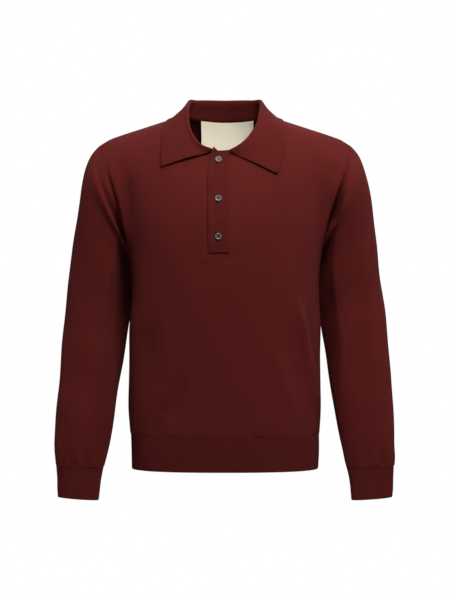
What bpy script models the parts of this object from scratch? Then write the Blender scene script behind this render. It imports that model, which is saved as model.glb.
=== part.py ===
"""Long-sleeved knitted polo sweater, filled out with no wearer. One solid for each piece a maker would cut and sew."""
import math

import bpy
import numpy as np
from mathutils import Matrix, Vector
from mathutils.bvhtree import BVHTree

# ---------------------------------------------------------------- driving sizes, metres
# Origin: middle of the neck opening at the height of the shoulders. +Z up, the front faces -Y.

WALL = 0.0015            # jersey of the front, back and sleeves
WALL_RIB = 0.0020        # hem rib and cuffs
WALL_COLLAR = 0.0018
WALL_PLACKET = 0.0016
WALL_LABEL = 0.0006
GAP = 0.0003             # between pieces at every seam

UNDERARM = -0.243        # height of the underarm point
RIB_TOP = -0.593         # seam of the hem rib
HEM = -0.658             # bottom edge of the hem rib

NECK_HALF, NECK_HIGH, NECK_SQUARE = 0.073, 0.0120, 2.3
NECK_FRONT_DROP, NECK_BACK_DROP = 0.083, 0.0068
NECK_SHARE = 0.30        # share of the upper edge of a half panel that is neck
NECK_LIFT = 0.0006       # collar's lower edge beyond the edge of the front and back

# level sections of the trunk:
#    height, half_width, front, back, side_y, square_front, square_back
TRUNK = (
    (-0.658, 0.1768, 0.1045, 0.1040, 0.000, 2.55, 2.45),
    (-0.620, 0.1775, 0.1065, 0.1045, 0.000, 2.55, 2.45),
    (-0.593, 0.1786, 0.1080, 0.1040, 0.000, 2.50, 2.45),
    (-0.572, 0.1809, 0.1100, 0.1040, 0.000, 2.45, 2.40),
    (-0.545, 0.1822, 0.1115, 0.1030, 0.001, 2.40, 2.40),
    (-0.500, 0.1817, 0.1135, 0.1000, 0.001, 2.40, 2.40),
    (-0.440, 0.1807, 0.1165, 0.0960, 0.000, 2.40, 2.40),
    (-0.385, 0.1800, 0.1200, 0.0970, -0.003, 2.38, 2.38),
    (-0.340, 0.1770, 0.1230, 0.1010, -0.005, 2.36, 2.35),
    (-0.300, 0.1782, 0.1250, 0.1060, -0.003, 2.34, 2.32),
    (-0.243, 0.1850, 0.1265, 0.1110, 0.002, 2.30, 2.30),
)

# shoulder seam on one side:
#    x, y, z
SHOULDER = (
    (0.0730, 0.000, 0.0120),
    (0.1186, 0.000, -0.0028),
    (0.1600, 0.000, -0.0160),
    (0.2003, 0.000, -0.0292),
    (0.2200, 0.000, -0.0368),
    (0.2365, 0.000, -0.0470),
)

# armhole seam from the underarm to the shoulder:
#    x, y, z
ARMHOLE_FRONT = (
    (0.1850, 0.002, -0.243),
    (0.1868, -0.018, -0.236),
    (0.1935, -0.037, -0.211),
    (0.2045, -0.050, -0.178),
    (0.2160, -0.057, -0.145),
    (0.2275, -0.051, -0.112),
    (0.2350, -0.032, -0.079),
    (0.2365, 0.000, -0.0470),
)
ARMHOLE_BACK = (
    (0.1850, 0.002, -0.243),
    (0.1880, 0.036, -0.237),
    (0.1965, 0.058, -0.211),
    (0.2080, 0.069, -0.175),
    (0.2190, 0.068, -0.138),
    (0.2285, 0.055, -0.104),
    (0.2350, 0.033, -0.073),
    (0.2365, 0.000, -0.0470),
)

# how the yoke rises from the underarm level and comes over the shoulder ridge
NECK_RISE = 0.33
YOKE_RISE, YOKE_REACH_FRONT, YOKE_REACH_BACK = 1.15, (0.38, 0.75), (1.05, 0.85)

# sections of a sleeve, pivoting about the underarm:
#    out_x, out_z, in_x, in_z, half_depth, centre_y, square
SLEEVE = (
    (0.2365, -0.0470, 0.1850, -0.2430, 0.062, 0.006, 2.10),
    (0.2525, -0.0620, 0.1856, -0.2510, 0.062, 0.006, 2.10),
    (0.2640, -0.0880, 0.1846, -0.2590, 0.061, 0.006, 2.10),
    (0.2725, -0.1200, 0.1838, -0.2670, 0.059, 0.007, 2.12),
    (0.2790, -0.1560, 0.1835, -0.2760, 0.057, 0.009, 2.14),
    (0.2845, -0.1960, 0.1815, -0.2870, 0.055, 0.013, 2.16),
    (0.2913, -0.2430, 0.1790, -0.3010, 0.054, 0.019, 2.18),
    (0.2971, -0.2900, 0.1770, -0.3200, 0.053, 0.024, 2.20),
    (0.3023, -0.3330, 0.1775, -0.3480, 0.051, 0.026, 2.22),
    (0.3071, -0.3780, 0.1838, -0.3860, 0.049, 0.023, 2.25),
    (0.3120, -0.4330, 0.1908, -0.4320, 0.047, 0.018, 2.25),
    (0.3165, -0.4870, 0.1983, -0.4850, 0.044, 0.012, 2.25),
    (0.3203, -0.5430, 0.2068, -0.5410, 0.041, 0.004, 2.25),
    (0.3225, -0.6010, 0.2168, -0.6000, 0.036, -0.003, 2.25),
    (0.3222, -0.6330, 0.2238, -0.6340, 0.030, -0.008, 2.25),
    (0.3197, -0.6545, 0.2300, -0.6575, 0.0245, -0.011, 2.25),
)
CAP_FADE = 5.0           # sections over which the armhole's own curve dies out
SLEEVE_BACK = 0.018      # how far the inner side under the arm lies behind the middle

# sections of a cuff: the same columns
CUFF = (
    (0.3195, -0.6550, 0.2303, -0.6580, 0.0245, -0.011, 2.25),
    (0.3178, -0.6750, 0.2343, -0.6790, 0.0230, -0.012, 2.25),
    (0.3174, -0.6950, 0.2368, -0.7000, 0.0222, -0.013, 2.25),
    (0.3164, -0.7120, 0.2387, -0.7180, 0.0215, -0.014, 2.25),
)

# the collar from the centre back (0) over the shoulder (1) to the front end (2):
#    place, seam_place (0 centre back, 1 shoulder, 2 centre front), roll_x, roll_y, roll_z, edge_x, edge_y, edge_z, roll_radius, bulge
COLLAR_RIGHT = (
    (0.00, 0.00, 0.0000, 0.0550, 0.0480, 0.0000, 0.0830, -0.0010, 0.0040, 0.004),
    (0.50, 0.50, 0.0500, 0.0360, 0.0465, 0.0690, 0.0560, -0.0010, 0.0040, 0.004),
    (1.00, 1.00, 0.0665, -0.0010, 0.0400, 0.1070, -0.0060, -0.0005, 0.0040, -0.0025),
    (1.30, 1.16, 0.0707, -0.0290, 0.0143, 0.1161, -0.0310, -0.0155, 0.0042, 0.000),
    (1.60, 1.43, 0.0654, -0.0590, -0.0213, 0.1175, -0.0580, -0.0470, 0.0040, 0.001),
    (1.80, 1.65, 0.0492, -0.0785, -0.0488, 0.1184, -0.0700, -0.0695, 0.0038, 0.001),
    (2.00, 1.82, 0.0262, -0.0885, -0.0612, 0.1174, -0.0820, -0.0951, 0.0036, 0.000),
)
COLLAR_LEFT = (
    (0.00, 0.00, 0.0000, 0.0550, 0.0480, 0.0000, 0.0830, -0.0010, 0.0040, 0.004),
    (0.50, 0.50, 0.0500, 0.0360, 0.0465, 0.0690, 0.0560, -0.0010, 0.0040, 0.004),
    (1.00, 1.00, 0.0665, -0.0010, 0.0400, 0.1070, -0.0060, -0.0005, 0.0040, -0.0025),
    (1.30, 1.16, 0.0641, -0.0280, 0.0126, 0.1121, -0.0320, -0.0155, 0.0042, 0.000),
    (1.60, 1.43, 0.0542, -0.0570, -0.0183, 0.1110, -0.0590, -0.0470, 0.0040, 0.001),
    (1.80, 1.69, 0.0362, -0.0775, -0.0436, 0.1080, -0.0720, -0.0680, 0.0040, 0.001),
    (2.00, 1.925, 0.0096, -0.0865, -0.0626, 0.0965, -0.0920, -0.1090, 0.0030, 0.000),
)

PLACKET_LEFT, PLACKET_RIGHT = -0.0304, 0.0078    # free edge and sewn edge of the upper placket
# the upper placket's free edge and its top, which leans in above the neck seam:
#    height, free_edge_x
PLACKET_EDGE = ((-0.2535, -0.0304), (-0.0980, -0.0304), (-0.0880, -0.0300), (-0.0720, -0.0255), (-0.0572, -0.0212))
PLACKET_TOPS = (-0.0572, -0.0640, -0.0640, -0.0630)   # heights of its upper edge, free edge first
PLACKET_LOW = -0.2535
BUTTON_X = -0.0120
BUTTONS_Z = (-0.0815, -0.1545, -0.2240)
BUTTON_WIDE, BUTTON_THICK = 0.0114, 0.0024
LABEL_X, LABEL_HALF, LABEL_HIGH, LABEL_TALL = 0.0045, 0.0505, 0.0045, 0.060

# ---------------------------------------------------------------- small helpers

def along(table, at):
    """The rows of a table at the places `at` of its first column, by a cubic through every row."""
    t = np.array(table, float)
    x, y = t[:, 0], t[:, 1:]
    h = np.diff(x)
    d = np.diff(y, axis=0) / h[:, None]
    m = np.empty_like(y)
    m[0], m[-1] = d[0], d[-1]
    if len(x) > 2:
        m[1:-1] = (d[:-1] * h[1:, None] + d[1:] * h[:-1, None]) / (h[1:] + h[:-1])[:, None]
    at = np.clip(np.asarray(at, float), x[0], x[-1])
    i = np.clip(np.searchsorted(x, at, side="right") - 1, 0, len(x) - 2)
    u = ((at - x[i]) / h[i])[..., None]
    w = h[i][..., None]
    return ((2 * u**3 - 3 * u**2 + 1) * y[i] + (u**3 - 2 * u**2 + u) * w * m[i]
            + (3 * u**2 - 2 * u**3) * y[i + 1] + (u**3 - u**2) * w * m[i + 1])


def ease(x, low=0.0, high=1.0):
    x = np.clip((np.asarray(x, float) - low) / (high - low), 0, 1)
    return x * x * (3 - 2 * x)


def unit(v):
    v = np.asarray(v, float)
    return v / np.maximum(np.linalg.norm(v, axis=-1, keepdims=True), 1e-12)


def even(points, at):
    """Points at the shares `at` of the length of a line of points."""
    points = np.asarray(points, float)
    run = np.concatenate([[0], np.cumsum(np.linalg.norm(np.diff(points, axis=0), axis=1))])
    run /= run[-1]
    return np.stack([np.interp(at, run, points[:, k]) for k in range(points.shape[1])], -1)


def normals(grid, closed=False):
    """Unit normals of a grid of points, row direction crossed with column direction."""
    if closed:
        across = np.roll(grid, -1, 1) - np.roll(grid, 1, 1)
    else:
        across = np.gradient(grid, axis=1)
    up = np.gradient(grid, axis=0)
    return unit(np.cross(across, up))


# ---------------------------------------------------------------- the trunk

def half_ring(z, s, side):
    """The front (side -1) or back (side +1) half of level sections, from one side seam (s = -1) to the other (s = 1)."""
    rows = along(TRUNK, z)
    turn = np.linspace(0, math.pi / 2, 121)
    out = np.empty((len(z), len(s), 3))
    for k, (width, front, back, side_y, square_front, square_back) in enumerate(rows):
        depth, square = (front, square_front) if side < 0 else (back, square_back)
        depth = depth + side_y if side < 0 else depth - side_y
        arc = np.stack([width * np.sin(turn) ** (2 / square), depth * np.cos(turn) ** (2 / square)], -1)
        at = even(arc, np.abs(s))
        out[k, :, 0] = at[:, 0] * np.sign(s)
        out[k, :, 1] = side_y + side * at[:, 1]
        out[k, :, 2] = z[k]
    return out


def cubic(p, q, mp, mq, v):
    v = np.asarray(v, float)
    v = v[:, None, None] if v.ndim == 1 else v[:, :, None]
    return ((2 * v**3 - 3 * v**2 + 1) * p + (v**3 - 2 * v**2 + v) * mp
            + (3 * v**2 - 2 * v**3) * q + (v**3 - v**2) * mq)


def ridge(s):
    """The line over the shoulders: the shoulder seam, carried on across the neck opening."""
    s = np.asarray(s, float)
    r = np.abs(s)
    x = np.linspace(SHOULDER[0][0], SHOULDER[-1][0], 61)
    seam = np.column_stack([x, along(SHOULDER, x)])
    seam = even(seam, np.clip((r - NECK_SHARE) / (1 - NECK_SHARE), 0, 1))
    inner = NECK_HALF * np.clip(r / NECK_SHARE, 0, 1)
    rise = NECK_HIGH + NECK_RISE * (NECK_HALF - np.sqrt(inner**2 + 0.02**2) + math.sqrt(NECK_HALF**2 + 0.02**2) - NECK_HALF)
    across = np.stack([inner, 0 * inner, rise], -1)
    out = np.where((r < NECK_SHARE)[:, None], across, seam)
    out[:, 0] *= np.sign(s)
    return out


def dome(side, s, w):
    """The front or back above the underarm, before the neck is cut: w from the underarm level (0) to the ridge (1)."""
    base = half_ring(np.array([UNDERARM]), s, side)[0]
    below = half_ring(np.array([UNDERARM - 0.03]), s, side)[0]
    top = ridge(s)
    r = np.abs(s)[:, None]
    length = np.linalg.norm(top - base, axis=1, keepdims=True)
    lean = -0.5 * np.sign(s) * np.exp(-((np.abs(s) - 0.28) / 0.14) ** 2)
    over = unit(np.stack([lean, 0 * s - side * 1.0, 0 * s + 0.10], -1))
    hollow = ease(r, 0.72, 1.0)
    leave = unit(base - below) * length * YOKE_RISE
    leave = leave * (1 - hollow) + np.array([0, side * 1.0, 0.25]) * length * hollow * 0.8
    middle, outer = YOKE_REACH_FRONT if side < 0 else YOKE_REACH_BACK
    reach = over * length * (middle + (outer - middle) * ease(r, 0.0, 0.5))
    return cubic(base, top, leave, reach, w)


def neck_height(x, side):
    drop = NECK_FRONT_DROP if side < 0 else NECK_BACK_DROP
    share = np.clip(np.abs(x) / NECK_HALF, 0, 1)
    return NECK_HIGH - drop * (1 - share**NECK_SQUARE) ** (1 / NECK_SQUARE)


def neck_cut(side, s):
    """How far up the dome each column goes before it meets the neck seam."""
    w = np.linspace(0.3, 1, 281)
    grid = dome(side, s, w)
    over = grid[..., 2] - neck_height(grid[..., 0], side)
    out = np.ones(len(s))
    for j in range(len(s)):
        if abs(s[j]) < NECK_SHARE - 1e-9:
            k = int(np.argmax(over[:, j] > 0))
            if k > 0:
                out[j] = w[k - 1] + (w[k] - w[k - 1]) * (-over[k - 1, j]) / (over[k, j] - over[k - 1, j])
    return out


NECK_LINES = {}


def neck_line(side):
    """The neck seam of the wearer's left, from the centre to the shoulder."""
    if side in NECK_LINES:
        return NECK_LINES[side]
    s = np.concatenate([np.linspace(0, 0.9, 28), 1 - np.geomspace(0.09, 0.001, 12)]) * NECK_SHARE
    cut = neck_cut(side, s)
    grid = dome(side, s, cut[None, :])[0]
    NECK_LINES[side] = np.concatenate([grid, [ridge(np.array([NECK_SHARE]))[0]]])
    return NECK_LINES[side]


def neck_point(place):
    """A point of the neck seam: 0 at the centre back, 1 at the shoulder, 2 at the centre front, by length between."""
    return even(neck_line(1 if place <= 1 else -1), [place if place <= 1 else 2 - place])[0]


def armhole(v, side):
    """The armhole seam on the wearer's left, from the underarm (v = 0) up to the shoulder (v = 1)."""
    table = ARMHOLE_FRONT if side < 0 else ARMHOLE_BACK
    fine = along([(k, *row) for k, row in enumerate(table)], np.linspace(0, len(table) - 1, 121))
    return even(fine, v)


def trunk(side, s, low, high):
    """A front or back panel as rows of points, from the level rows `low` (heights) up through the shares `high` of the yoke."""
    lower = half_ring(low, s, side)
    cut = neck_cut(side, s)
    upper = dome(side, s, high[:, None] * cut[None, :])
    for sign in (-1.0, 1.0):
        edge = armhole(high, side) * np.array([sign, 1, 1])
        last = int(np.argmax(s * sign))
        shift = edge - upper[:, last]
        weight = np.clip((s * sign - 0.30) / 0.70, 0, 1) ** 2
        upper = upper + shift[:, None, :] * weight[None, :, None]
    return np.concatenate([lower, upper])


# ---------------------------------------------------------------- a sleeve

def sleeve(t, turn):
    """The wearer's left sleeve: sections `t` of SLEEVE, round by `turn` (0 outside, 0.25 front, 0.5 inside, 0.75 back)."""
    rows = along([(k, *row) for k, row in enumerate(SLEEVE)], t)
    out_x, out_z, in_x, in_z, half, centre_y, square = [rows[:, k, None] for k in range(7)]
    a = 2 * math.pi * np.asarray(turn)[None, :]
    c, s = np.cos(a), np.sin(a)
    cc = np.sign(c) * np.abs(c) ** (2 / square)
    ss = np.sign(s) * np.abs(s) ** (2 / square)
    x = (out_x + in_x) / 2 + cc * (out_x - in_x) / 2
    z = (out_z + in_z) / 2 + cc * (out_z - in_z) / 2
    y = centre_y - ss * half + (1 - cc) / 2 * SLEEVE_BACK * (ease(t, 1, 2.6) * (1 - ease(t, 4, 7)))[:, None]
    out = np.stack([x, y, z], -1)
    # the first sections grow out of the armhole seam
    front = turn <= 0.5
    loop = np.where(front[:, None], armhole(1 - 2 * np.clip(turn, 0, 0.5), -1), armhole(2 * np.clip(turn, 0.5, 1) - 1, 1))
    first = sleeve_plain(0.0, turn)
    fade = 1 - ease(t, 0, CAP_FADE)
    return out + fade[:, None, None] * (loop - first)[None]


def sleeve_plain(t, turn):
    out_x, out_z, in_x, in_z, half, centre_y, square = SLEEVE[0]
    a = 2 * math.pi * np.asarray(turn)
    c, s = np.cos(a), np.sin(a)
    cc = np.sign(c) * np.abs(c) ** (2 / square)
    ss = np.sign(s) * np.abs(s) ** (2 / square)
    return np.stack([(out_x + in_x) / 2 + cc * (out_x - in_x) / 2, centre_y - ss * half,
                     (out_z + in_z) / 2 + cc * (out_z - in_z) / 2], -1)


def cuff(t, turn):
    rows = along([(k, *row) for k, row in enumerate(CUFF)], t)
    out_x, out_z, in_x, in_z, half, centre_y, square = [rows[:, k, None] for k in range(7)]
    a = 2 * math.pi * np.asarray(turn)[None, :]
    c, s = np.cos(a), np.sin(a)
    cc = np.sign(c) * np.abs(c) ** (2 / square)
    ss = np.sign(s) * np.abs(s) ** (2 / square)
    return np.stack([(out_x + in_x) / 2 + cc * (out_x - in_x) / 2, centre_y - ss * half,
                     (out_z + in_z) / 2 + cc * (out_z - in_z) / 2], -1)


# ---------------------------------------------------------------- the collar

def nearest_on(line, p):
    """The point of a line of points that is nearest to p."""
    a, b = line[:-1], line[1:]
    u = np.clip(((p - a) * (b - a)).sum(1) / ((b - a) ** 2).sum(1), 0, 1)[:, None]
    at = a + (b - a) * u
    return at[int(np.argmin(((at - p) ** 2).sum(1)))]


def collar(t, q, ground, opening):
    """The collar strip: t from -2 (front end on the wearer's right) over 0 (centre back) to 2, q from the neck seam (0) over the roll (1) to the free edge (2). `ground` is the shape under it and `opening` the neck edges of the front and the back."""
    t, q = np.asarray(t, float), np.asarray(q, float)
    grid = np.empty((len(q), len(t), 3))

    def row_at(place):
        row = along(COLLAR_RIGHT if place < 0 else COLLAR_LEFT, np.array([abs(place)]))[0]
        flip = np.array([-1.0 if place < 0 else 1.0, 1, 1])
        seam = nearest_on(opening[0 if row[0] > 1 else 1], neck_point(row[0]) * flip)
        return seam, row[1:4] * flip, row[4:7] * flip, row[7], row[8]

    for k, place in enumerate(t):
        seam, roll, edge, r, bulge = row_at(place)
        before, after = row_at(max(place - 0.06, -2)), row_at(min(place + 0.06, 2))
        n = np.array(ground.find_nearest(tuple(seam))[1])
        u = unit(roll - seam)
        run_on = unit(after[1] - before[1])
        w = unit(np.cross(run_on, u))                        # out from the stand
        w *= 1.0 if np.dot(w, n + unit(edge - roll)) > 0 else -1.0
        d = unit(np.cross(n, after[0] - before[0]))          # on from the panel's own face
        d *= 1.0 if np.dot(d, np.array([0, 0, seam[2] + 0.05]) - seam) > 0 else -1.0
        seam = seam + d * (NECK_LIFT + WALL_COLLAR * max(0.0, -float(np.dot(d, w)))) - n * WALL_COLLAR * max(0.0, float(np.dot(n, w)))
        rise = roll - seam
        v = rise - np.dot(rise, run_on) * run_on             # up, square to the roll
        v = unit(v - np.dot(v, w) * w)
        low = min(r, 0.5 * float(np.dot(rise, v)))
        fall = edge - roll
        line = np.array([
            seam,
            seam + rise * 0.42 - w * r * 0.45,
            roll - v * low - w * r,
            roll - v * low * 0.293 - w * r * 0.707,
            roll,
            roll - v * low * 0.293 + w * r * 0.707,
            roll - v * low + w * r * 1.05,
            roll + fall * 0.38 + w * bulge,
            roll + fall * 0.70 + w * bulge * 0.8,
            edge])
        run = np.concatenate([[0], np.cumsum(np.linalg.norm(np.diff(line, axis=0), axis=1) ** 0.8)])
        stand = along(np.column_stack([run, line]), np.linspace(0, run[4], 161))
        leaf = along(np.column_stack([run, line]), np.linspace(run[4], run[-1], 201))
        # a fifth of q on either side of the roll is the roll itself
        size = [np.linalg.norm(np.diff(part, axis=0), axis=1).sum() for part in (stand, leaf)]
        bend = [min(1.7 * r / size[0], 0.7), min(1.7 * r / size[1], 0.4)]
        up = np.interp(q, [0, 0.8, 1], [0, 1 - bend[0], 1])
        out = np.interp(q, [1, 1.2, 2], [0, bend[1], 1])
        grid[:, k] = np.where((q <= 1)[:, None], even(stand, up), even(leaf, out))
    return grid
# ---------------------------------------------------------------- solids

def solid(name, outer, thick, closed=False, keep=None, facing=None, inner=None):
    """A sheet as a closed solid: the grid `outer`, the same grid moved in by `thick`, and a rim round every edge. `keep` marks the cells of the grid that are there."""
    rows, cols = outer.shape[:2]
    n = normals(outer, closed) if facing is None else facing
    back = outer - n * thick if inner is None else inner
    cells = cols if closed else cols - 1
    keep = np.ones((rows - 1, cells), bool) if keep is None else keep
    points = np.concatenate([outer.reshape(-1, 3), back.reshape(-1, 3)])
    half = rows * cols
    at = lambda i, j: i * cols + j % cols
    faces = []
    edges = {}
    for i in range(rows - 1):
        for j in range(cells):
            if not keep[i, j]:
                continue
            a, b, c, d = at(i, j), at(i, j + 1), at(i + 1, j + 1), at(i + 1, j)
            p = [outer.reshape(-1, 3)[k] for k in (a, b, c, d)]
            if np.linalg.norm(p[0] - p[2]) <= np.linalg.norm(p[1] - p[3]):
                both = [(a, b, c), (a, c, d)]
            else:
                both = [(a, b, d), (b, c, d)]
            for tri in both:
                faces.append(tri)
                faces.append(tuple(half + k for k in reversed(tri)))
            for u, v in ((a, b), (b, c), (c, d), (d, a)):
                if (v, u) in edges:
                    del edges[(v, u)]
                else:
                    edges[(u, v)] = True
    for u, v in edges:
        faces.append((v, u, half + u))
        faces.append((v, half + u, half + v))
    used = sorted({k for f in faces for k in f})
    new = {k: i for i, k in enumerate(used)}
    return make(name, [points[k] for k in used], [tuple(new[k] for k in f) for f in faces])


def make(name, points, faces):
    mesh = bpy.data.meshes.new(name)
    mesh.from_pydata([tuple(float(x) for x in p) for p in points], [], faces)
    mesh.validate()
    ob = bpy.data.objects.new(name, mesh)
    bpy.context.scene.collection.objects.link(ob)
    for f in mesh.polygons:
        f.use_smooth = True
    return ob


def colour(ob, name, rgb, rough):
    mat = bpy.data.materials.get(name)
    if mat is None:
        mat = bpy.data.materials.new(name)
        mat.use_nodes = True
        shader = mat.node_tree.nodes["Principled BSDF"]
        shader.inputs["Base Color"].default_value = (*rgb, 1)
        shader.inputs["Roughness"].default_value = rough
    ob.data.materials.append(mat)


def tree(*grids):
    points, faces = [], []
    for grid in grids:
        rows, cols = grid.shape[:2]
        first = len(points)
        points += [tuple(p) for p in grid.reshape(-1, 3)]
        faces += [(first + i * cols + j, first + i * cols + j + 1, first + (i + 1) * cols + j + 1, first + (i + 1) * cols + j)
                  for i in range(rows - 1) for j in range(cols - 1)]
    return BVHTree.FromPolygons(points, faces)


def mirror(grid, flip=True):
    out = grid * np.array([-1, 1, 1])
    return out[:, ::-1] if flip else out


for old in list(bpy.data.objects):
    bpy.data.objects.remove(old)

# rows and columns of the faceted pieces
LOW = np.array([-0.593, -0.570, -0.535, -0.490, -0.440, -0.390, -0.345, -0.305, -0.270, -0.243])
HIGH = np.linspace(0, 1, 11)[1:]
COLUMNS = np.array([-1, -0.93, -0.84, -0.73, -0.62, -0.51, -0.40, -0.30, -0.275, -0.235, -0.18, -0.098, 0.0165,
                    0.10, 0.18, 0.235, 0.275, 0.30, 0.40, 0.51, 0.62, 0.73, 0.84, 0.93, 1])
BACK_COLUMNS = np.array([-1, -0.93, -0.84, -0.73, -0.62, -0.51, -0.40, -0.30, -0.26, -0.19, -0.10, 0.0,
                         0.10, 0.19, 0.26, 0.30, 0.40, 0.51, 0.62, 0.73, 0.84, 0.93, 1])

front = trunk(-1, COLUMNS, LOW, HIGH)
back = trunk(1, BACK_COLUMNS, LOW, HIGH)
n_front = normals(front)
n_back = -normals(back)

# sleeves: the same share of the armhole as the rows of the yoke
m = len(HIGH)
turn = np.concatenate([0.5 - 0.5 * np.concatenate([[0], HIGH])[::-1], 0.5 + 0.5 * HIGH[:-1]])
places = np.array([0, 0.8, 1.6, 2.4, 3.3, 4.3, 5.4, 6.5, 7.6, 8.7, 9.8, 11.0, 12.2, 13.3, 14.2, 15.0])
arm = sleeve(places, turn)
n_arm = normals(arm, True)

# one normal for both sides of every seam, so that the rims face each other
def share(a, b):
    return unit(a + b)

low_rows = len(LOW)
front_up = n_front[low_rows - 1:, -1]            # along the armhole on the wearer's left, underarm first
back_up = n_back[low_rows - 1:, -1]
# side seams: the same heights in front and back
side_n = share(n_front[:low_rows, -1], n_back[:low_rows, -1])
n_front[:low_rows, -1] = n_back[:low_rows, -1] = side_n
n_front[:low_rows, 0] = n_back[:low_rows, 0] = side_n * np.array([-1, 1, 1])
# shoulder seams: the same columns beyond the neck
for j in range(len(COLUMNS)):
    if abs(COLUMNS[j]) > NECK_SHARE - 1e-6:
        k = int(np.argmin(np.abs(BACK_COLUMNS - COLUMNS[j])))
        both = share(n_front[-1, j], n_back[-1, k])
        n_front[-1, j] = n_back[-1, k] = both
# armholes: round from the shoulder over the front and the underarm to the back
def into(grid, rows, col, nxt):
    return unit(grid[rows, nxt] - grid[rows, col])


yoke = np.arange(low_rows - 1, len(front))
d_front, d_back = into(front, yoke, -1, -2), into(back, yoke, -1, -2)
down = unit(front[low_rows - 2, -1] - front[low_rows - 1, -1])
d_front[0] = d_back[0] = unit(down * np.array([1, 0, 1]))
d_front[-1] = d_back[-1] = unit(front[-1, -2] - front[-1, -1])
d_panel = np.concatenate([d_front[::-1], d_back[1:-1]])
d_sleeve = unit(arm[1] - arm[0])
apart = unit(d_panel - d_sleeve)
v_loop = np.concatenate([np.concatenate([[0], HIGH])[::-1], HIGH[:-1]])
loop = np.concatenate([n_front[yoke, -1][::-1], n_back[yoke[1:-1], -1]])
loop = loop + n_arm[0] + 0.3 * (d_panel + d_sleeve)
loop = unit(loop - (loop * apart).sum(1, keepdims=True) * apart)
n_arm[0] = loop
up = loop[:m + 1][::-1]
down = np.concatenate([loop[m:], loop[:1]])
n_front[yoke, -1], n_back[yoke, -1] = up, down
n_front[yoke, 0], n_back[yoke, 0] = up * np.array([-1, 1, 1]), down * np.array([-1, 1, 1])
apart = apart * (1 + 1.6 * (1 - ease(v_loop, 0.05, 0.35)))[:, None]
apart_front, apart_back = apart[:m + 1][::-1], np.concatenate([apart[m:], apart[:1]])


def drawn(grid, moves):
    """Moves edges of a grid by half the gap: (rows, column, directions) or (row, columns, directions)."""
    out = grid.copy()
    for rows, cols, way in moves:
        out[rows, cols] += way * GAP / 2
    return out


def panel_gaps(grid, apart_here):
    sides = np.arange(low_rows)
    flip = np.array([-1, 1, 1])
    return [(sides, -1, into(grid, sides, -1, -2)), (sides, 0, into(grid, sides, 0, 1)),
            (yoke, -1, apart_here), (yoke, 0, apart_here * flip),
            (0, slice(None), unit(grid[1] - grid[0])), (-1, slice(None), unit(grid[-2] - grid[-1]))]


def pull_in(grid, rows=(), columns=(), by=GAP / 2):
    """Moves the named edge rows and columns of a grid toward the inside of the sheet."""
    out = grid.copy()
    for r, nxt in rows:
        out[r] += unit(grid[nxt] - grid[r]) * by
    for c, nxt in columns:
        out[:, c] += unit(grid[:, nxt] - grid[:, c]) * by
    return out


front_in = drawn(front, panel_gaps(front, apart_front))
back_in = drawn(back, panel_gaps(back, apart_back))
arm_in = drawn(arm, [(0, slice(None), -apart), (-1, slice(None), unit(arm[-2] - arm[-1]))])

slit = np.ones((len(front) - 1, len(COLUMNS) - 1), bool)
slit_col = int(np.argmin(np.abs(COLUMNS + 0.098)))
slit_row = int(np.argmin(np.abs(front[:, slit_col, 2] - PLACKET_LOW))) 
slit[slit_row:, slit_col] = False

pieces = {}
pieces["front"] = solid("front", front_in, WALL, keep=slit, facing=n_front)
pieces["back"] = solid("back", back_in[:, ::-1], WALL, facing=n_back[:, ::-1])
pieces["sleeve_left"] = solid("sleeve_left", arm_in, WALL, True, facing=n_arm)
pieces["sleeve_right"] = solid("sleeve_right", mirror(arm_in), WALL, True, facing=mirror(n_arm))

# hem rib
HEM_ROWS = np.array([-0.658, -0.640, -0.615, -0.593])
for side, name, cols in ((-1, "hem_rib_front", COLUMNS), (1, "hem_rib_back", BACK_COLUMNS)):
    g = half_ring(HEM_ROWS, cols, side)
    n = normals(g) * (1 if side < 0 else -1)
    n[:, 0] = unit(n[:, 0] * [1, 0, 1]) ; n[:, -1] = unit(n[:, -1] * [1, 0, 1])
    g = pull_in(g, [(-1, -2)], [(0, 1), (-1, -2)])
    if side > 0:
        g, n = g[:, ::-1], n[:, ::-1]
    pieces[name] = solid(name, g, WALL_RIB, facing=n)

# cuffs
ct = np.array([0, 0.7, 1.5, 2.3, 3.0])
g = cuff(ct, turn)
n = normals(g, True)
n[0] = unit(n[0] + n_arm[-1])
g = pull_in(g, [(0, 1)])
pieces["cuff_left"] = solid("cuff_left", g, WALL_RIB, True, facing=n)
pieces["cuff_right"] = solid("cuff_right", mirror(g), WALL_RIB, True, facing=mirror(n))

# collar: moved out wherever it would come nearer than its wall and the gap to what it lies on
fine_s = np.linspace(-1, 1, 61)
fine_w = np.linspace(0, 1, 41)
whole_front = np.concatenate([half_ring(LOW[-3:], fine_s, -1), dome(-1, fine_s, fine_w)[1:]])
whole_back = np.concatenate([half_ring(LOW[-3:], fine_s, 1), dome(1, fine_s, fine_w)[1:]])
ground = [tree(whole_front, whole_back[:, ::-1]), tree(front, back[:, ::-1])]
CT = np.array([-2, -1.9, -1.78, -1.64, -1.48, -1.3, -1.15, -1, -0.8, -0.6, -0.4, -0.2, 0,
               0.2, 0.4, 0.6, 0.8, 1, 1.15, 1.3, 1.48, 1.64, 1.78, 1.9, 2])
CQ = np.array([0, 0.40, 0.80, 0.87, 0.935, 1.0, 1.065, 1.13, 1.20, 1.38, 1.58, 1.79, 2.0])
opening = [front[-1, np.abs(COLUMNS) < NECK_SHARE + 1e-6], back[-1, np.abs(BACK_COLUMNS) < NECK_SHARE + 1e-6]]
g = collar(CT, CQ, ground[0], opening)


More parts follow.
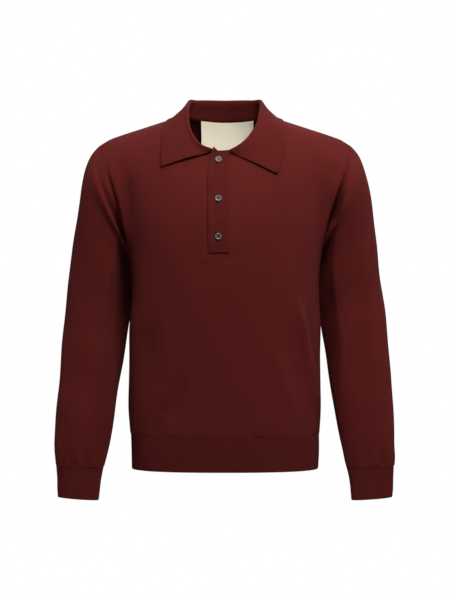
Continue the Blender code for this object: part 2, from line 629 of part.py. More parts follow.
def lift(grid, rows, clear):
    """Moves points out until they, and the middles of the cells round them, are `clear` of what lies under them."""
    def short(p):
        best, way = 0.0, None
        for bvh in ground:
            place, n, index, far = bvh.find_nearest(tuple(p))
            if place is None or far > 0.02:
                continue
            n = np.array(n)
            over = float(np.dot(p - np.array(place), n))
            near = far if over >= 0 else -far
            if (near >= 0 or bvh is ground[0] or far < 0.004) and clear - near > best:
                best, way = clear - near, n
        return best, way
    for i in rows:
        for j in range(grid.shape[1]):
            need, way = short(grid[i, j])
            if way is not None:
                grid[i, j] += way * need
    for i in rows[:-1]:
        for j in range(grid.shape[1] - 1):
            for cell in ([(i, j), (i + 1, j + 1)], [(i + 1, j), (i, j + 1)], [(i + 1, j), (i + 1, j + 1)]):
                need, way = short(sum(grid[c] for c in cell) / 2)
                if way is not None:
                    for c in cell:
                        grid[c] += way * need
    return grid


def soften(grid, rows, share_of=0.5):
    out = grid.copy()
    for i in rows:
        lo, hi = max(i - 1, 0), min(i + 1, len(grid) - 1)
        mid = grid[i].copy()
        mid[1:-1] = (grid[i, :-2] + grid[i, 2:]) / 2
        if i < len(grid) - 1:
            mid = (mid + (grid[lo] + grid[hi]) / 2) / 2
        out[i] = grid[i] + (mid - grid[i]) * share_of
    return out


low = [i for i, q in enumerate(CQ) if q > 1.1]
for k in range(2):
    g = lift(g, low, WALL_COLLAR + 0.0008)
    g = soften(g, low, 0.25)
g = lift(g, low, WALL_COLLAR + 0.0006)
collar_grid = g
n = normals(g)
pieces["collar"] = solid("collar", g, WALL_COLLAR, facing=n)

# plackets: made from the front's own points, moved out
over_front = tree(front)


def on_front(x, z, out):
    """A point of the front at x and height z, moved out; above the neck seam the cloth is carried on straight."""
    high = -0.0765
    here = over_front.ray_cast((x, -1.0, min(z, high)), (0, 1, 0))
    at = np.array(here[0]) + np.array(here[1]) * out
    if z > high:
        low = over_front.ray_cast((x, -1.0, high - 0.012), (0, 1, 0))
        at = at + (at - np.array(low[0]) - np.array(low[1]) * out) * (z - high) / 0.012 * np.array([1, 0.45, 1])
    return at


def strip(name, lefts, rights, shares, zs, out, thick):
    pts = np.empty((len(zs), len(shares), 3))
    for i in range(len(zs)):
        for j, u in enumerate(shares):
            z = zs[i][j] if np.ndim(zs[i]) else zs[i]
            left = along(lefts, [z])[0, 0]
            right = along(rights, [z])[0, 0]
            pts[i, j] = on_front(left + (right - left) * u, z, out)
    pieces[name] = solid(name, pts, thick, facing=normals(pts))
    return pts


ZS = [-0.2535, -0.238, -0.222, -0.205, -0.185, -0.165, -0.145, -0.125, -0.106, -0.090, -0.0765]
tops = [np.array(PLACKET_TOPS)]
strip("placket_top", PLACKET_EDGE, ((-0.26, PLACKET_RIGHT), (-0.05, PLACKET_RIGHT)), (0, 0.33, 0.67, 1), ZS + tops, 0.0006 + WALL_PLACKET, WALL_PLACKET)
slit_edge = front[slit_row:, slit_col]
slit_side = front[slit_row:, slit_col + 1]
inset = GAP + 0.0003
lefts = tuple((float(z), float(x) + inset) for x, y, z in slit_edge)
rights = tuple((float(z), float(x) - inset) for x, y, z in slit_side)
under_z = [float(z) for z in front[slit_row:, slit_col, 2]]
pts = np.empty((len(slit_edge), 3, 3))
for i in range(len(slit_edge)):
    a, b = slit_edge[i].copy(), slit_side[i].copy()
    step = unit(b - a) * inset
    a, b = a + step, b - step
    pts[i] = [a, (a + b) / 2, b]
pts[0] += unit(pts[1] - pts[0]) * inset
pts[-1] += unit(pts[-1] - pts[-2]) * 0.0015
n = normals(pts)
pieces["placket_under"] = solid("placket_under", pts - n * 0.0001, WALL_PLACKET, facing=n)

# label, inside the back just under the neck seam
within_back = tree((back - n_back * WALL)[:, ::-1])
pts = np.empty((6, 9, 3))
for i, v in enumerate(np.linspace(0, 1, 6)):
    for j, u in enumerate(np.linspace(-1, 1, 9)):
        x = LABEL_X + u * LABEL_HALF
        z = LABEL_HIGH + 0.0022 * u * u - 0.0016 - LABEL_TALL * (1 - v)
        hit = within_back.ray_cast((x, -0.01, z), (0, 1, 0))
        pts[i, j] = np.array(hit[0]) - np.array(unit(np.array(hit[1]))) * (0.0006 + WALL_LABEL) * np.sign(hit[1][1])
n = normals(pts)
pieces["neck_label"] = solid("neck_label", pts, WALL_LABEL, facing=n)


def button(name, centre, normal):
    profile = ((0.0046, 0.0), (0.0055, 0.0005), (0.0057, 0.0012), (0.0055, 0.0022), (0.0050, 0.0024), (0.0043, 0.0023), (0.0036, 0.0018))
    around = 18
    pts = [(r * math.cos(2 * math.pi * k / around), r * math.sin(2 * math.pi * k / around), z) for r, z in profile for k in range(around)]
    faces = [tuple(reversed(range(around)))]
    for i in range(len(profile) - 1):
        for k in range(around):
            a, b = i * around + k, i * around + (k + 1) % around
            faces.append((a, b, b + around, a + around))
    faces.append(tuple((len(profile) - 1) * around + k for k in range(around)))
    z = Vector(normal).normalized()
    y = (Vector((0, 0, 1)) - z * z.z).normalized()
    x = y.cross(z)
    frame = Matrix((x, y, z)).transposed().to_4x4()
    frame.translation = Vector(centre)
    ob = make(name, pts, faces)
    cutters = []
    for sx in (-1, 1):
        for sy in (-1, 1):
            ring = [(sx * 0.0012 + 0.0007 * math.cos(2 * math.pi * k / 8), sy * 0.0012 + 0.0007 * math.sin(2 * math.pi * k / 8)) for k in range(8)]
            cpts = [(px, py, -0.001) for px, py in ring] + [(px, py, 0.004) for px, py in ring]
            cfaces = [tuple(reversed(range(8))), tuple(range(8, 16))] + [(k, (k + 1) % 8, 8 + (k + 1) % 8, 8 + k) for k in range(8)]
            cutters.append(make(name + "_hole", cpts, cfaces))
    for cutter in cutters:
        cut = ob.modifiers.new("hole", "BOOLEAN")
        cut.operation, cut.solver, cut.object = "DIFFERENCE", "EXACT", cutter
    bpy.context.view_layer.update()
    done = bpy.data.meshes.new_from_object(ob.evaluated_get(bpy.context.evaluated_depsgraph_get()))
    ob.modifiers.clear()
    ob.data = done
    ob.data.transform(frame)
    for cutter in cutters:
        bpy.data.objects.remove(cutter)
    return ob


for k, z in enumerate(BUTTONS_Z):
    low_p, high_p = on_front(BUTTON_X, z - 0.005, 0.0022), on_front(BUTTON_X, z + 0.005, 0.0022)
    left_p, right_p = on_front(BUTTON_X - 0.005, z, 0.0022), on_front(BUTTON_X + 0.005, z, 0.0022)
    n = unit(np.cross(right_p - left_p, high_p - low_p))
    mid = on_front(BUTTON_X, z, 0.0022)
    reach = max(float(np.dot(p - mid, n)) for p in (low_p, high_p, left_p, right_p))
    pieces["button_%d" % (k + 1)] = button("button_%d" % (k + 1), mid + n * (0.0004 + max(reach, 0)), n)

YARN, RIB, TRIM, SHELL = (0.075, 0.014, 0.013), (0.060, 0.011, 0.011), (0.70, 0.62, 0.47), (0.12, 0.10, 0.10)
for key, ob in pieces.items():
    if key.startswith("button"):
        colour(ob, "button", SHELL, 0.25)
    elif key == "neck_label":
        colour(ob, "label", TRIM, 0.6)
    elif "rib" in key or "cuff" in key:
        colour(ob, "knit_rib", RIB, 0.95)
    else:
        colour(ob, "knit_body", YARN, 0.95)
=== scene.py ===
"""Looks of the knitted polo sweater: thin cloth shells on the forms of its solids, soft folds, knit materials, a plain studio."""
import math

import bpy
import numpy as np
from mathutils import Matrix, Vector
from mathutils.bvhtree import BVHTree


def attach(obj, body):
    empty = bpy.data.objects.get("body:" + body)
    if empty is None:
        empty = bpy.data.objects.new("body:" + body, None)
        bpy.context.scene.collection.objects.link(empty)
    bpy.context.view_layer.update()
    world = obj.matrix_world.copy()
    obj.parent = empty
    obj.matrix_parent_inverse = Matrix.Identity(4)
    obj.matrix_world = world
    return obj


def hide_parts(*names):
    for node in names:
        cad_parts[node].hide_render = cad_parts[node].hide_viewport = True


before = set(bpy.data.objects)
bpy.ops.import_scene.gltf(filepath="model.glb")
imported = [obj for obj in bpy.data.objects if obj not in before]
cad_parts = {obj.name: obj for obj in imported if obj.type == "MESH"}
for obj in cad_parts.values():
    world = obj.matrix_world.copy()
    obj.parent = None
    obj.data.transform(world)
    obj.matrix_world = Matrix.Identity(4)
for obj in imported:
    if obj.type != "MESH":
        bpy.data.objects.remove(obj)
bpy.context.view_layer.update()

# ---------------------------------------------------------------- driving sizes, metres
# Origin: middle of the neck opening at the height of the shoulders. +Z up, the front faces -Y.

WALL = 0.0015            # jersey of the front, back and sleeves
WALL_RIB = 0.0020        # hem rib and cuffs
WALL_COLLAR = 0.0018
WALL_PLACKET = 0.0016
WALL_LABEL = 0.0006
GAP = 0.0003             # between pieces at every seam

UNDERARM = -0.243        # height of the underarm point
RIB_TOP = -0.593         # seam of the hem rib
HEM = -0.658             # bottom edge of the hem rib

NECK_HALF, NECK_HIGH, NECK_SQUARE = 0.073, 0.0120, 2.3
NECK_FRONT_DROP, NECK_BACK_DROP = 0.083, 0.0068
NECK_SHARE = 0.30        # share of the upper edge of a half panel that is neck
NECK_LIFT = 0.0006       # collar's lower edge beyond the edge of the front and back

# level sections of the trunk:
#    height, half_width, front, back, side_y, square_front, square_back
TRUNK = (
    (-0.658, 0.1768, 0.1045, 0.1040, 0.000, 2.55, 2.45),
    (-0.620, 0.1775, 0.1065, 0.1045, 0.000, 2.55, 2.45),
    (-0.593, 0.1786, 0.1080, 0.1040, 0.000, 2.50, 2.45),
    (-0.572, 0.1809, 0.1100, 0.1040, 0.000, 2.45, 2.40),
    (-0.545, 0.1822, 0.1115, 0.1030, 0.001, 2.40, 2.40),
    (-0.500, 0.1817, 0.1135, 0.1000, 0.001, 2.40, 2.40),
    (-0.440, 0.1807, 0.1165, 0.0960, 0.000, 2.40, 2.40),
    (-0.385, 0.1800, 0.1200, 0.0970, -0.003, 2.38, 2.38),
    (-0.340, 0.1770, 0.1230, 0.1010, -0.005, 2.36, 2.35),
    (-0.300, 0.1782, 0.1250, 0.1060, -0.003, 2.34, 2.32),
    (-0.243, 0.1850, 0.1265, 0.1110, 0.002, 2.30, 2.30),
)

# shoulder seam on one side:
#    x, y, z
SHOULDER = (
    (0.0730, 0.000, 0.0120),
    (0.1186, 0.000, -0.0028),
    (0.1600, 0.000, -0.0160),
    (0.2003, 0.000, -0.0292),
    (0.2200, 0.000, -0.0368),
    (0.2365, 0.000, -0.0470),
)

# armhole seam from the underarm to the shoulder:
#    x, y, z
ARMHOLE_FRONT = (
    (0.1850, 0.002, -0.243),
    (0.1868, -0.018, -0.236),
    (0.1935, -0.037, -0.211),
    (0.2045, -0.050, -0.178),
    (0.2160, -0.057, -0.145),
    (0.2275, -0.051, -0.112),
    (0.2350, -0.032, -0.079),
    (0.2365, 0.000, -0.0470),
)
ARMHOLE_BACK = (
    (0.1850, 0.002, -0.243),
    (0.1880, 0.036, -0.237),
    (0.1965, 0.058, -0.211),
    (0.2080, 0.069, -0.175),
    (0.2190, 0.068, -0.138),
    (0.2285, 0.055, -0.104),
    (0.2350, 0.033, -0.073),
    (0.2365, 0.000, -0.0470),
)

# how the yoke rises from the underarm level and comes over the shoulder ridge
NECK_RISE = 0.33
YOKE_RISE, YOKE_REACH_FRONT, YOKE_REACH_BACK = 1.15, (0.38, 0.75), (1.05, 0.85)

# sections of a sleeve, pivoting about the underarm:
#    out_x, out_z, in_x, in_z, half_depth, centre_y, square
SLEEVE = (
    (0.2365, -0.0470, 0.1850, -0.2430, 0.062, 0.006, 2.10),
    (0.2525, -0.0620, 0.1856, -0.2510, 0.062, 0.006, 2.10),
    (0.2640, -0.0880, 0.1846, -0.2590, 0.061, 0.006, 2.10),
    (0.2725, -0.1200, 0.1838, -0.2670, 0.059, 0.007, 2.12),
    (0.2790, -0.1560, 0.1835, -0.2760, 0.057, 0.009, 2.14),
    (0.2845, -0.1960, 0.1815, -0.2870, 0.055, 0.013, 2.16),
    (0.2913, -0.2430, 0.1790, -0.3010, 0.054, 0.019, 2.18),
    (0.2971, -0.2900, 0.1770, -0.3200, 0.053, 0.024, 2.20),
    (0.3023, -0.3330, 0.1775, -0.3480, 0.051, 0.026, 2.22),
    (0.3071, -0.3780, 0.1838, -0.3860, 0.049, 0.023, 2.25),
    (0.3120, -0.4330, 0.1908, -0.4320, 0.047, 0.018, 2.25),
    (0.3165, -0.4870, 0.1983, -0.4850, 0.044, 0.012, 2.25),
    (0.3203, -0.5430, 0.2068, -0.5410, 0.041, 0.004, 2.25),
    (0.3225, -0.6010, 0.2168, -0.6000, 0.036, -0.003, 2.25),
    (0.3222, -0.6330, 0.2238, -0.6340, 0.030, -0.008, 2.25),
    (0.3197, -0.6545, 0.2300, -0.6575, 0.0245, -0.011, 2.25),
)
CAP_FADE = 5.0           # sections over which the armhole's own curve dies out
SLEEVE_BACK = 0.018      # how far the inner side under the arm lies behind the middle

# sections of a cuff: the same columns
CUFF = (
    (0.3195, -0.6550, 0.2303, -0.6580, 0.0245, -0.011, 2.25),
    (0.3178, -0.6750, 0.2343, -0.6790, 0.0230, -0.012, 2.25),
    (0.3174, -0.6950, 0.2368, -0.7000, 0.0222, -0.013, 2.25),
    (0.3164, -0.7120, 0.2387, -0.7180, 0.0215, -0.014, 2.25),
)

# the collar from the centre back (0) over the shoulder (1) to the front end (2):
#    place, seam_place (0 centre back, 1 shoulder, 2 centre front), roll_x, roll_y, roll_z, edge_x, edge_y, edge_z, roll_radius, bulge
COLLAR_RIGHT = (
    (0.00, 0.00, 0.0000, 0.0500, 0.0449, 0.0000, 0.0830, -0.0010, 0.0040, 0.004),
    (0.50, 0.50, 0.0500, 0.0335, 0.0435, 0.0690, 0.0560, -0.0010, 0.0040, 0.004),
    (1.00, 1.00, 0.0684, -0.0010, 0.0366, 0.1070, -0.0060, -0.0005, 0.0040, -0.0012),
    (1.30, 1.16, 0.0707, -0.0290, 0.0143, 0.1161, -0.0310, -0.0155, 0.0040, 0.0018),
    (1.60, 1.43, 0.0654, -0.0590, -0.0213, 0.1175, -0.0580, -0.0470, 0.0036, 0.0026),
    (1.80, 1.65, 0.0492, -0.0785, -0.0488, 0.1184, -0.0700, -0.0695, 0.0034, 0.0024),
    (2.00, 1.82, 0.0262, -0.0885, -0.0612, 0.1174, -0.0820, -0.0951, 0.0036, 0.000),
)
COLLAR_LEFT = (
    (0.00, 0.00, 0.0000, 0.0500, 0.0449, 0.0000, 0.0830, -0.0010, 0.0040, 0.004),
    (0.50, 0.50, 0.0500, 0.0335, 0.0435, 0.0690, 0.0560, -0.0010, 0.0040, 0.004),
    (1.00, 1.00, 0.0684, -0.0010, 0.0366, 0.1070, -0.0060, -0.0005, 0.0040, -0.0012),
    (1.30, 1.16, 0.0641, -0.0280, 0.0126, 0.1121, -0.0320, -0.0155, 0.0042, 0.000),
    (1.60, 1.43, 0.0542, -0.0570, -0.0183, 0.1110, -0.0590, -0.0470, 0.0040, 0.001),
    (1.80, 1.69, 0.0362, -0.0775, -0.0436, 0.1080, -0.0720, -0.0680, 0.0040, 0.001),
    (2.00, 1.925, 0.0096, -0.0865, -0.0626, 0.0965, -0.0920, -0.1090, 0.0030, 0.000),
)

PLACKET_LEFT, PLACKET_RIGHT = -0.0304, 0.0078    # free edge and sewn edge of the upper placket
# the upper placket's free edge and its top, which leans in above the neck seam:
#    height, free_edge_x
PLACKET_EDGE = ((-0.2535, -0.0304), (-0.0980, -0.0304), (-0.0880, -0.0300), (-0.0720, -0.0266), (-0.0572, -0.0212))
PLACKET_TOPS = (-0.0572, -0.0640, -0.0640, -0.0630)   # heights of its upper edge, free edge first
PLACKET_LOW = -0.2535
BUTTON_X = -0.0120
BUTTONS_Z = (-0.0815, -0.1545, -0.2240)
BUTTON_WIDE, BUTTON_THICK = 0.0114, 0.0024
LABEL_X, LABEL_HALF, LABEL_HIGH, LABEL_TALL = 0.0045, 0.0505, 0.0045, 0.060

# light, watts and strength
KEY, FILL, RIM, TOP, BACK, AMBIENT = 60.0, 5.0, 13.0, 25.0, 42.0, 0.055

# ---------------------------------------------------------------- small helpers

def along(table, at):
    """The rows of a table at the places `at` of its first column, by a cubic through every row."""
    t = np.array(table, float)
    x, y = t[:, 0], t[:, 1:]
    h = np.diff(x)
    d = np.diff(y, axis=0) / h[:, None]
    m = np.empty_like(y)
    m[0], m[-1] = d[0], d[-1]
    if len(x) > 2:
        m[1:-1] = (d[:-1] * h[1:, None] + d[1:] * h[:-1, None]) / (h[1:] + h[:-1])[:, None]
    at = np.clip(np.asarray(at, float), x[0], x[-1])
    i = np.clip(np.searchsorted(x, at, side="right") - 1, 0, len(x) - 2)
    u = ((at - x[i]) / h[i])[..., None]
    w = h[i][..., None]
    return ((2 * u**3 - 3 * u**2 + 1) * y[i] + (u**3 - 2 * u**2 + u) * w * m[i]
            + (3 * u**2 - 2 * u**3) * y[i + 1] + (u**3 - u**2) * w * m[i + 1])


def ease(x, low=0.0, high=1.0):
    x = np.clip((np.asarray(x, float) - low) / (high - low), 0, 1)
    return x * x * (3 - 2 * x)


def unit(v):
    v = np.asarray(v, float)
    return v / np.maximum(np.linalg.norm(v, axis=-1, keepdims=True), 1e-12)


def even(points, at):
    """Points at the shares `at` of the length of a line of points."""
    points = np.asarray(points, float)
    run = np.concatenate([[0], np.cumsum(np.linalg.norm(np.diff(points, axis=0), axis=1))])
    run /= run[-1]
    return np.stack([np.interp(at, run, points[:, k]) for k in range(points.shape[1])], -1)


def normals(grid, closed=False):
    """Unit normals of a grid of points, row direction crossed with column direction."""
    if closed:
        across = np.roll(grid, -1, 1) - np.roll(grid, 1, 1)
    else:
        across = np.gradient(grid, axis=1)
    up = np.gradient(grid, axis=0)
    return unit(np.cross(across, up))


# ---------------------------------------------------------------- the trunk

def half_ring(z, s, side):
    """The front (side -1) or back (side +1) half of level sections, from one side seam (s = -1) to the other (s = 1)."""
    rows = along(TRUNK, z)
    turn = np.linspace(0, math.pi / 2, 121)
    out = np.empty((len(z), len(s), 3))
    for k, (width, front, back, side_y, square_front, square_back) in enumerate(rows):
        depth, square = (front, square_front) if side < 0 else (back, square_back)
        depth = depth + side_y if side < 0 else depth - side_y
        arc = np.stack([width * np.sin(turn) ** (2 / square), depth * np.cos(turn) ** (2 / square)], -1)
        at = even(arc, np.abs(s))
        out[k, :, 0] = at[:, 0] * np.sign(s)
        out[k, :, 1] = side_y + side * at[:, 1]
        out[k, :, 2] = z[k]
    return out


def cubic(p, q, mp, mq, v):
    v = np.asarray(v, float)
    v = v[:, None, None] if v.ndim == 1 else v[:, :, None]
    return ((2 * v**3 - 3 * v**2 + 1) * p + (v**3 - 2 * v**2 + v) * mp
            + (3 * v**2 - 2 * v**3) * q + (v**3 - v**2) * mq)


def ridge(s):
    """The line over the shoulders: the shoulder seam, carried on across the neck opening."""
    s = np.asarray(s, float)
    r = np.abs(s)
    x = np.linspace(SHOULDER[0][0], SHOULDER[-1][0], 61)
    seam = np.column_stack([x, along(SHOULDER, x)])
    seam = even(seam, np.clip((r - NECK_SHARE) / (1 - NECK_SHARE), 0, 1))
    inner = NECK_HALF * np.clip(r / NECK_SHARE, 0, 1)
    rise = NECK_HIGH + NECK_RISE * (NECK_HALF - np.sqrt(inner**2 + 0.02**2) + math.sqrt(NECK_HALF**2 + 0.02**2) - NECK_HALF)
    across = np.stack([inner, 0 * inner, rise], -1)
    out = np.where((r < NECK_SHARE)[:, None], across, seam)
    out[:, 0] *= np.sign(s)
    return out


def dome(side, s, w):
    """The front or back above the underarm, before the neck is cut: w from the underarm level (0) to the ridge (1)."""
    base = half_ring(np.array([UNDERARM]), s, side)[0]
    below = half_ring(np.array([UNDERARM - 0.03]), s, side)[0]
    top = ridge(s)
    r = np.abs(s)[:, None]
    length = np.linalg.norm(top - base, axis=1, keepdims=True)
    lean = -0.5 * np.sign(s) * np.exp(-((np.abs(s) - 0.28) / 0.14) ** 2)
    over = unit(np.stack([lean, 0 * s - side * 1.0, 0 * s + 0.10], -1))
    hollow = ease(r, 0.72, 1.0)
    leave = unit(base - below) * length * YOKE_RISE
    leave = leave * (1 - hollow) + np.array([0, side * 1.0, 0.25]) * length * hollow * 0.8
    middle, outer = YOKE_REACH_FRONT if side < 0 else YOKE_REACH_BACK
    reach = over * length * (middle + (outer - middle) * ease(r, 0.0, 0.5))
    return cubic(base, top, leave, reach, w)


def neck_height(x, side):
    drop = NECK_FRONT_DROP if side < 0 else NECK_BACK_DROP
    share = np.clip(np.abs(x) / NECK_HALF, 0, 1)
    return NECK_HIGH - drop * (1 - share**NECK_SQUARE) ** (1 / NECK_SQUARE)


def neck_cut(side, s):
    """How far up the dome each column goes before it meets the neck seam."""
    w = np.linspace(0.3, 1, 281)
    grid = dome(side, s, w)
    over = grid[..., 2] - neck_height(grid[..., 0], side)
    out = np.ones(len(s))
    for j in range(len(s)):
        if abs(s[j]) < NECK_SHARE - 1e-9:
            k = int(np.argmax(over[:, j] > 0))
            if k > 0:
                out[j] = w[k - 1] + (w[k] - w[k - 1]) * (-over[k - 1, j]) / (over[k, j] - over[k - 1, j])
    return out


NECK_LINES = {}


def neck_line(side):
    """The neck seam of the wearer's left, from the centre to the shoulder."""
    if side in NECK_LINES:
        return NECK_LINES[side]
    s = np.concatenate([np.linspace(0, 0.9, 28), 1 - np.geomspace(0.09, 0.001, 12)]) * NECK_SHARE
    cut = neck_cut(side, s)
    grid = dome(side, s, cut[None, :])[0]
    NECK_LINES[side] = np.concatenate([grid, [ridge(np.array([NECK_SHARE]))[0]]])
    return NECK_LINES[side]


def neck_point(place):
    """A point of the neck seam: 0 at the centre back, 1 at the shoulder, 2 at the centre front, by length between."""
    return even(neck_line(1 if place <= 1 else -1), [place if place <= 1 else 2 - place])[0]


def armhole(v, side):
    """The armhole seam on the wearer's left, from the underarm (v = 0) up to the shoulder (v = 1)."""
    table = ARMHOLE_FRONT if side < 0 else ARMHOLE_BACK
    fine = along([(k, *row) for k, row in enumerate(table)], np.linspace(0, len(table) - 1, 121))
    return even(fine, v)


def trunk(side, s, low, high):
    """A front or back panel as rows of points, from the level rows `low` (heights) up through the shares `high` of the yoke."""
    lower = half_ring(low, s, side)
    cut = neck_cut(side, s)
    upper = dome(side, s, high[:, None] * cut[None, :])
    for sign in (-1.0, 1.0):
        edge = armhole(high, side) * np.array([sign, 1, 1])
        last = int(np.argmax(s * sign))
        shift = edge - upper[:, last]
        weight = np.clip((s * sign - 0.30) / 0.70, 0, 1) ** 2
        upper = upper + shift[:, None, :] * weight[None, :, None]
    return np.concatenate([lower, upper])


# ---------------------------------------------------------------- a sleeve

def sleeve(t, turn):
    """The wearer's left sleeve: sections `t` of SLEEVE, round by `turn` (0 outside, 0.25 front, 0.5 inside, 0.75 back)."""
    rows = along([(k, *row) for k, row in enumerate(SLEEVE)], t)
    out_x, out_z, in_x, in_z, half, centre_y, square = [rows[:, k, None] for k in range(7)]
    a = 2 * math.pi * np.asarray(turn)[None, :]
    c, s = np.cos(a), np.sin(a)
    cc = np.sign(c) * np.abs(c) ** (2 / square)
    ss = np.sign(s) * np.abs(s) ** (2 / square)
    x = (out_x + in_x) / 2 + cc * (out_x - in_x) / 2
    z = (out_z + in_z) / 2 + cc * (out_z - in_z) / 2
    y = centre_y - ss * half + (1 - cc) / 2 * SLEEVE_BACK * (ease(t, 1, 2.6) * (1 - ease(t, 4, 7)))[:, None]
    out = np.stack([x, y, z], -1)
    # the first sections grow out of the armhole seam
    front = turn <= 0.5
    loop = np.where(front[:, None], armhole(1 - 2 * np.clip(turn, 0, 0.5), -1), armhole(2 * np.clip(turn, 0.5, 1) - 1, 1))
    first = sleeve_plain(0.0, turn)
    fade = 1 - ease(t, 0, CAP_FADE)
    return out + fade[:, None, None] * (loop - first)[None]


def sleeve_plain(t, turn):
    out_x, out_z, in_x, in_z, half, centre_y, square = SLEEVE[0]
    a = 2 * math.pi * np.asarray(turn)
    c, s = np.cos(a), np.sin(a)
    cc = np.sign(c) * np.abs(c) ** (2 / square)
    ss = np.sign(s) * np.abs(s) ** (2 / square)
    return np.stack([(out_x + in_x) / 2 + cc * (out_x - in_x) / 2, centre_y - ss * half,
                     (out_z + in_z) / 2 + cc * (out_z - in_z) / 2], -1)


def cuff(t, turn):
    rows = along([(k, *row) for k, row in enumerate(CUFF)], t)
    out_x, out_z, in_x, in_z, half, centre_y, square = [rows[:, k, None] for k in range(7)]
    a = 2 * math.pi * np.asarray(turn)[None, :]
    c, s = np.cos(a), np.sin(a)
    cc = np.sign(c) * np.abs(c) ** (2 / square)
    ss = np.sign(s) * np.abs(s) ** (2 / square)
    return np.stack([(out_x + in_x) / 2 + cc * (out_x - in_x) / 2, centre_y - ss * half,
                     (out_z + in_z) / 2 + cc * (out_z - in_z) / 2], -1)


# ---------------------------------------------------------------- the collar

def nearest_on(line, p):
    """The point of a line of points that is nearest to p."""
    a, b = line[:-1], line[1:]
    u = np.clip(((p - a) * (b - a)).sum(1) / ((b - a) ** 2).sum(1), 0, 1)[:, None]
    at = a + (b - a) * u
    return at[int(np.argmin(((at - p) ** 2).sum(1)))]


def collar(t, q, ground, opening):
    """The collar strip: t from -2 (front end on the wearer's right) over 0 (centre back) to 2, q from the neck seam (0) over the roll (1) to the free edge (2). `ground` is the shape under it and `opening` the neck edges of the front and the back."""
    t, q = np.asarray(t, float), np.asarray(q, float)
    grid = np.empty((len(q), len(t), 3))

    def row_at(place):
        row = along(COLLAR_RIGHT if place < 0 else COLLAR_LEFT, np.array([abs(place)]))[0]
        flip = np.array([-1.0 if place < 0 else 1.0, 1, 1])
        seam = nearest_on(opening[0 if row[0] > 1 else 1], neck_point(row[0]) * flip)
        return seam, row[1:4] * flip, row[4:7] * flip, row[7], row[8]

    for k, place in enumerate(t):
        seam, roll, edge, r, bulge = row_at(place)
        before, after = row_at(max(place - 0.06, -2)), row_at(min(place + 0.06, 2))
        n = np.array(ground.find_nearest(tuple(seam))[1])
        u = unit(roll - seam)
        run_on = unit(after[1] - before[1])
        w = unit(np.cross(run_on, u))                        # out from the stand
        w *= 1.0 if np.dot(w, n + unit(edge - roll)) > 0 else -1.0
        d = unit(np.cross(n, after[0] - before[0]))          # on from the panel's own face
        d *= 1.0 if np.dot(d, np.array([0, 0, seam[2] + 0.05]) - seam) > 0 else -1.0
        seam = seam + d * (NECK_LIFT + WALL_COLLAR * max(0.0, -float(np.dot(d, w)))) - n * WALL_COLLAR * max(0.0, float(np.dot(n, w)))
        rise = roll - seam
        v = rise - np.dot(rise, run_on) * run_on             # up, square to the roll
        v = unit(v - np.dot(v, w) * w)
        low = min(r, 0.5 * float(np.dot(rise, v)))
        fall = edge - roll
        line = np.array([
            seam,
            seam + rise * 0.42 - w * r * 0.45,
            roll - v * low - w * r,
            roll - v * low * 0.293 - w * r * 0.707,
            roll,
            roll - v * low * 0.293 + w * r * 0.707,
            roll - v * low + w * r * 1.05,
            roll + fall * 0.38 + w * bulge,
            roll + fall * 0.70 + w * bulge * 0.8,
            edge])
        run = np.concatenate([[0], np.cumsum(np.linalg.norm(np.diff(line, axis=0), axis=1) ** 0.8)])
        stand = along(np.column_stack([run, line]), np.linspace(0, run[4], 161))
        leaf = along(np.column_stack([run, line]), np.linspace(run[4], run[-1], 201))
        # a fifth of q on either side of the roll is the roll itself
        size = [np.linalg.norm(np.diff(part, axis=0), axis=1).sum() for part in (stand, leaf)]
        bend = [min(1.7 * r / size[0], 0.7), min(1.7 * r / size[1], 0.4)]
        up = np.interp(q, [0, 0.8, 1], [0, 1 - bend[0], 1])
        out = np.interp(q, [1, 1.2, 2], [0, bend[1], 1])
        grid[:, k] = np.where((q <= 1)[:, None], even(stand, up), even(leaf, out))
    return grid

# ---------------------------------------------------------------- meshes

measured = {}


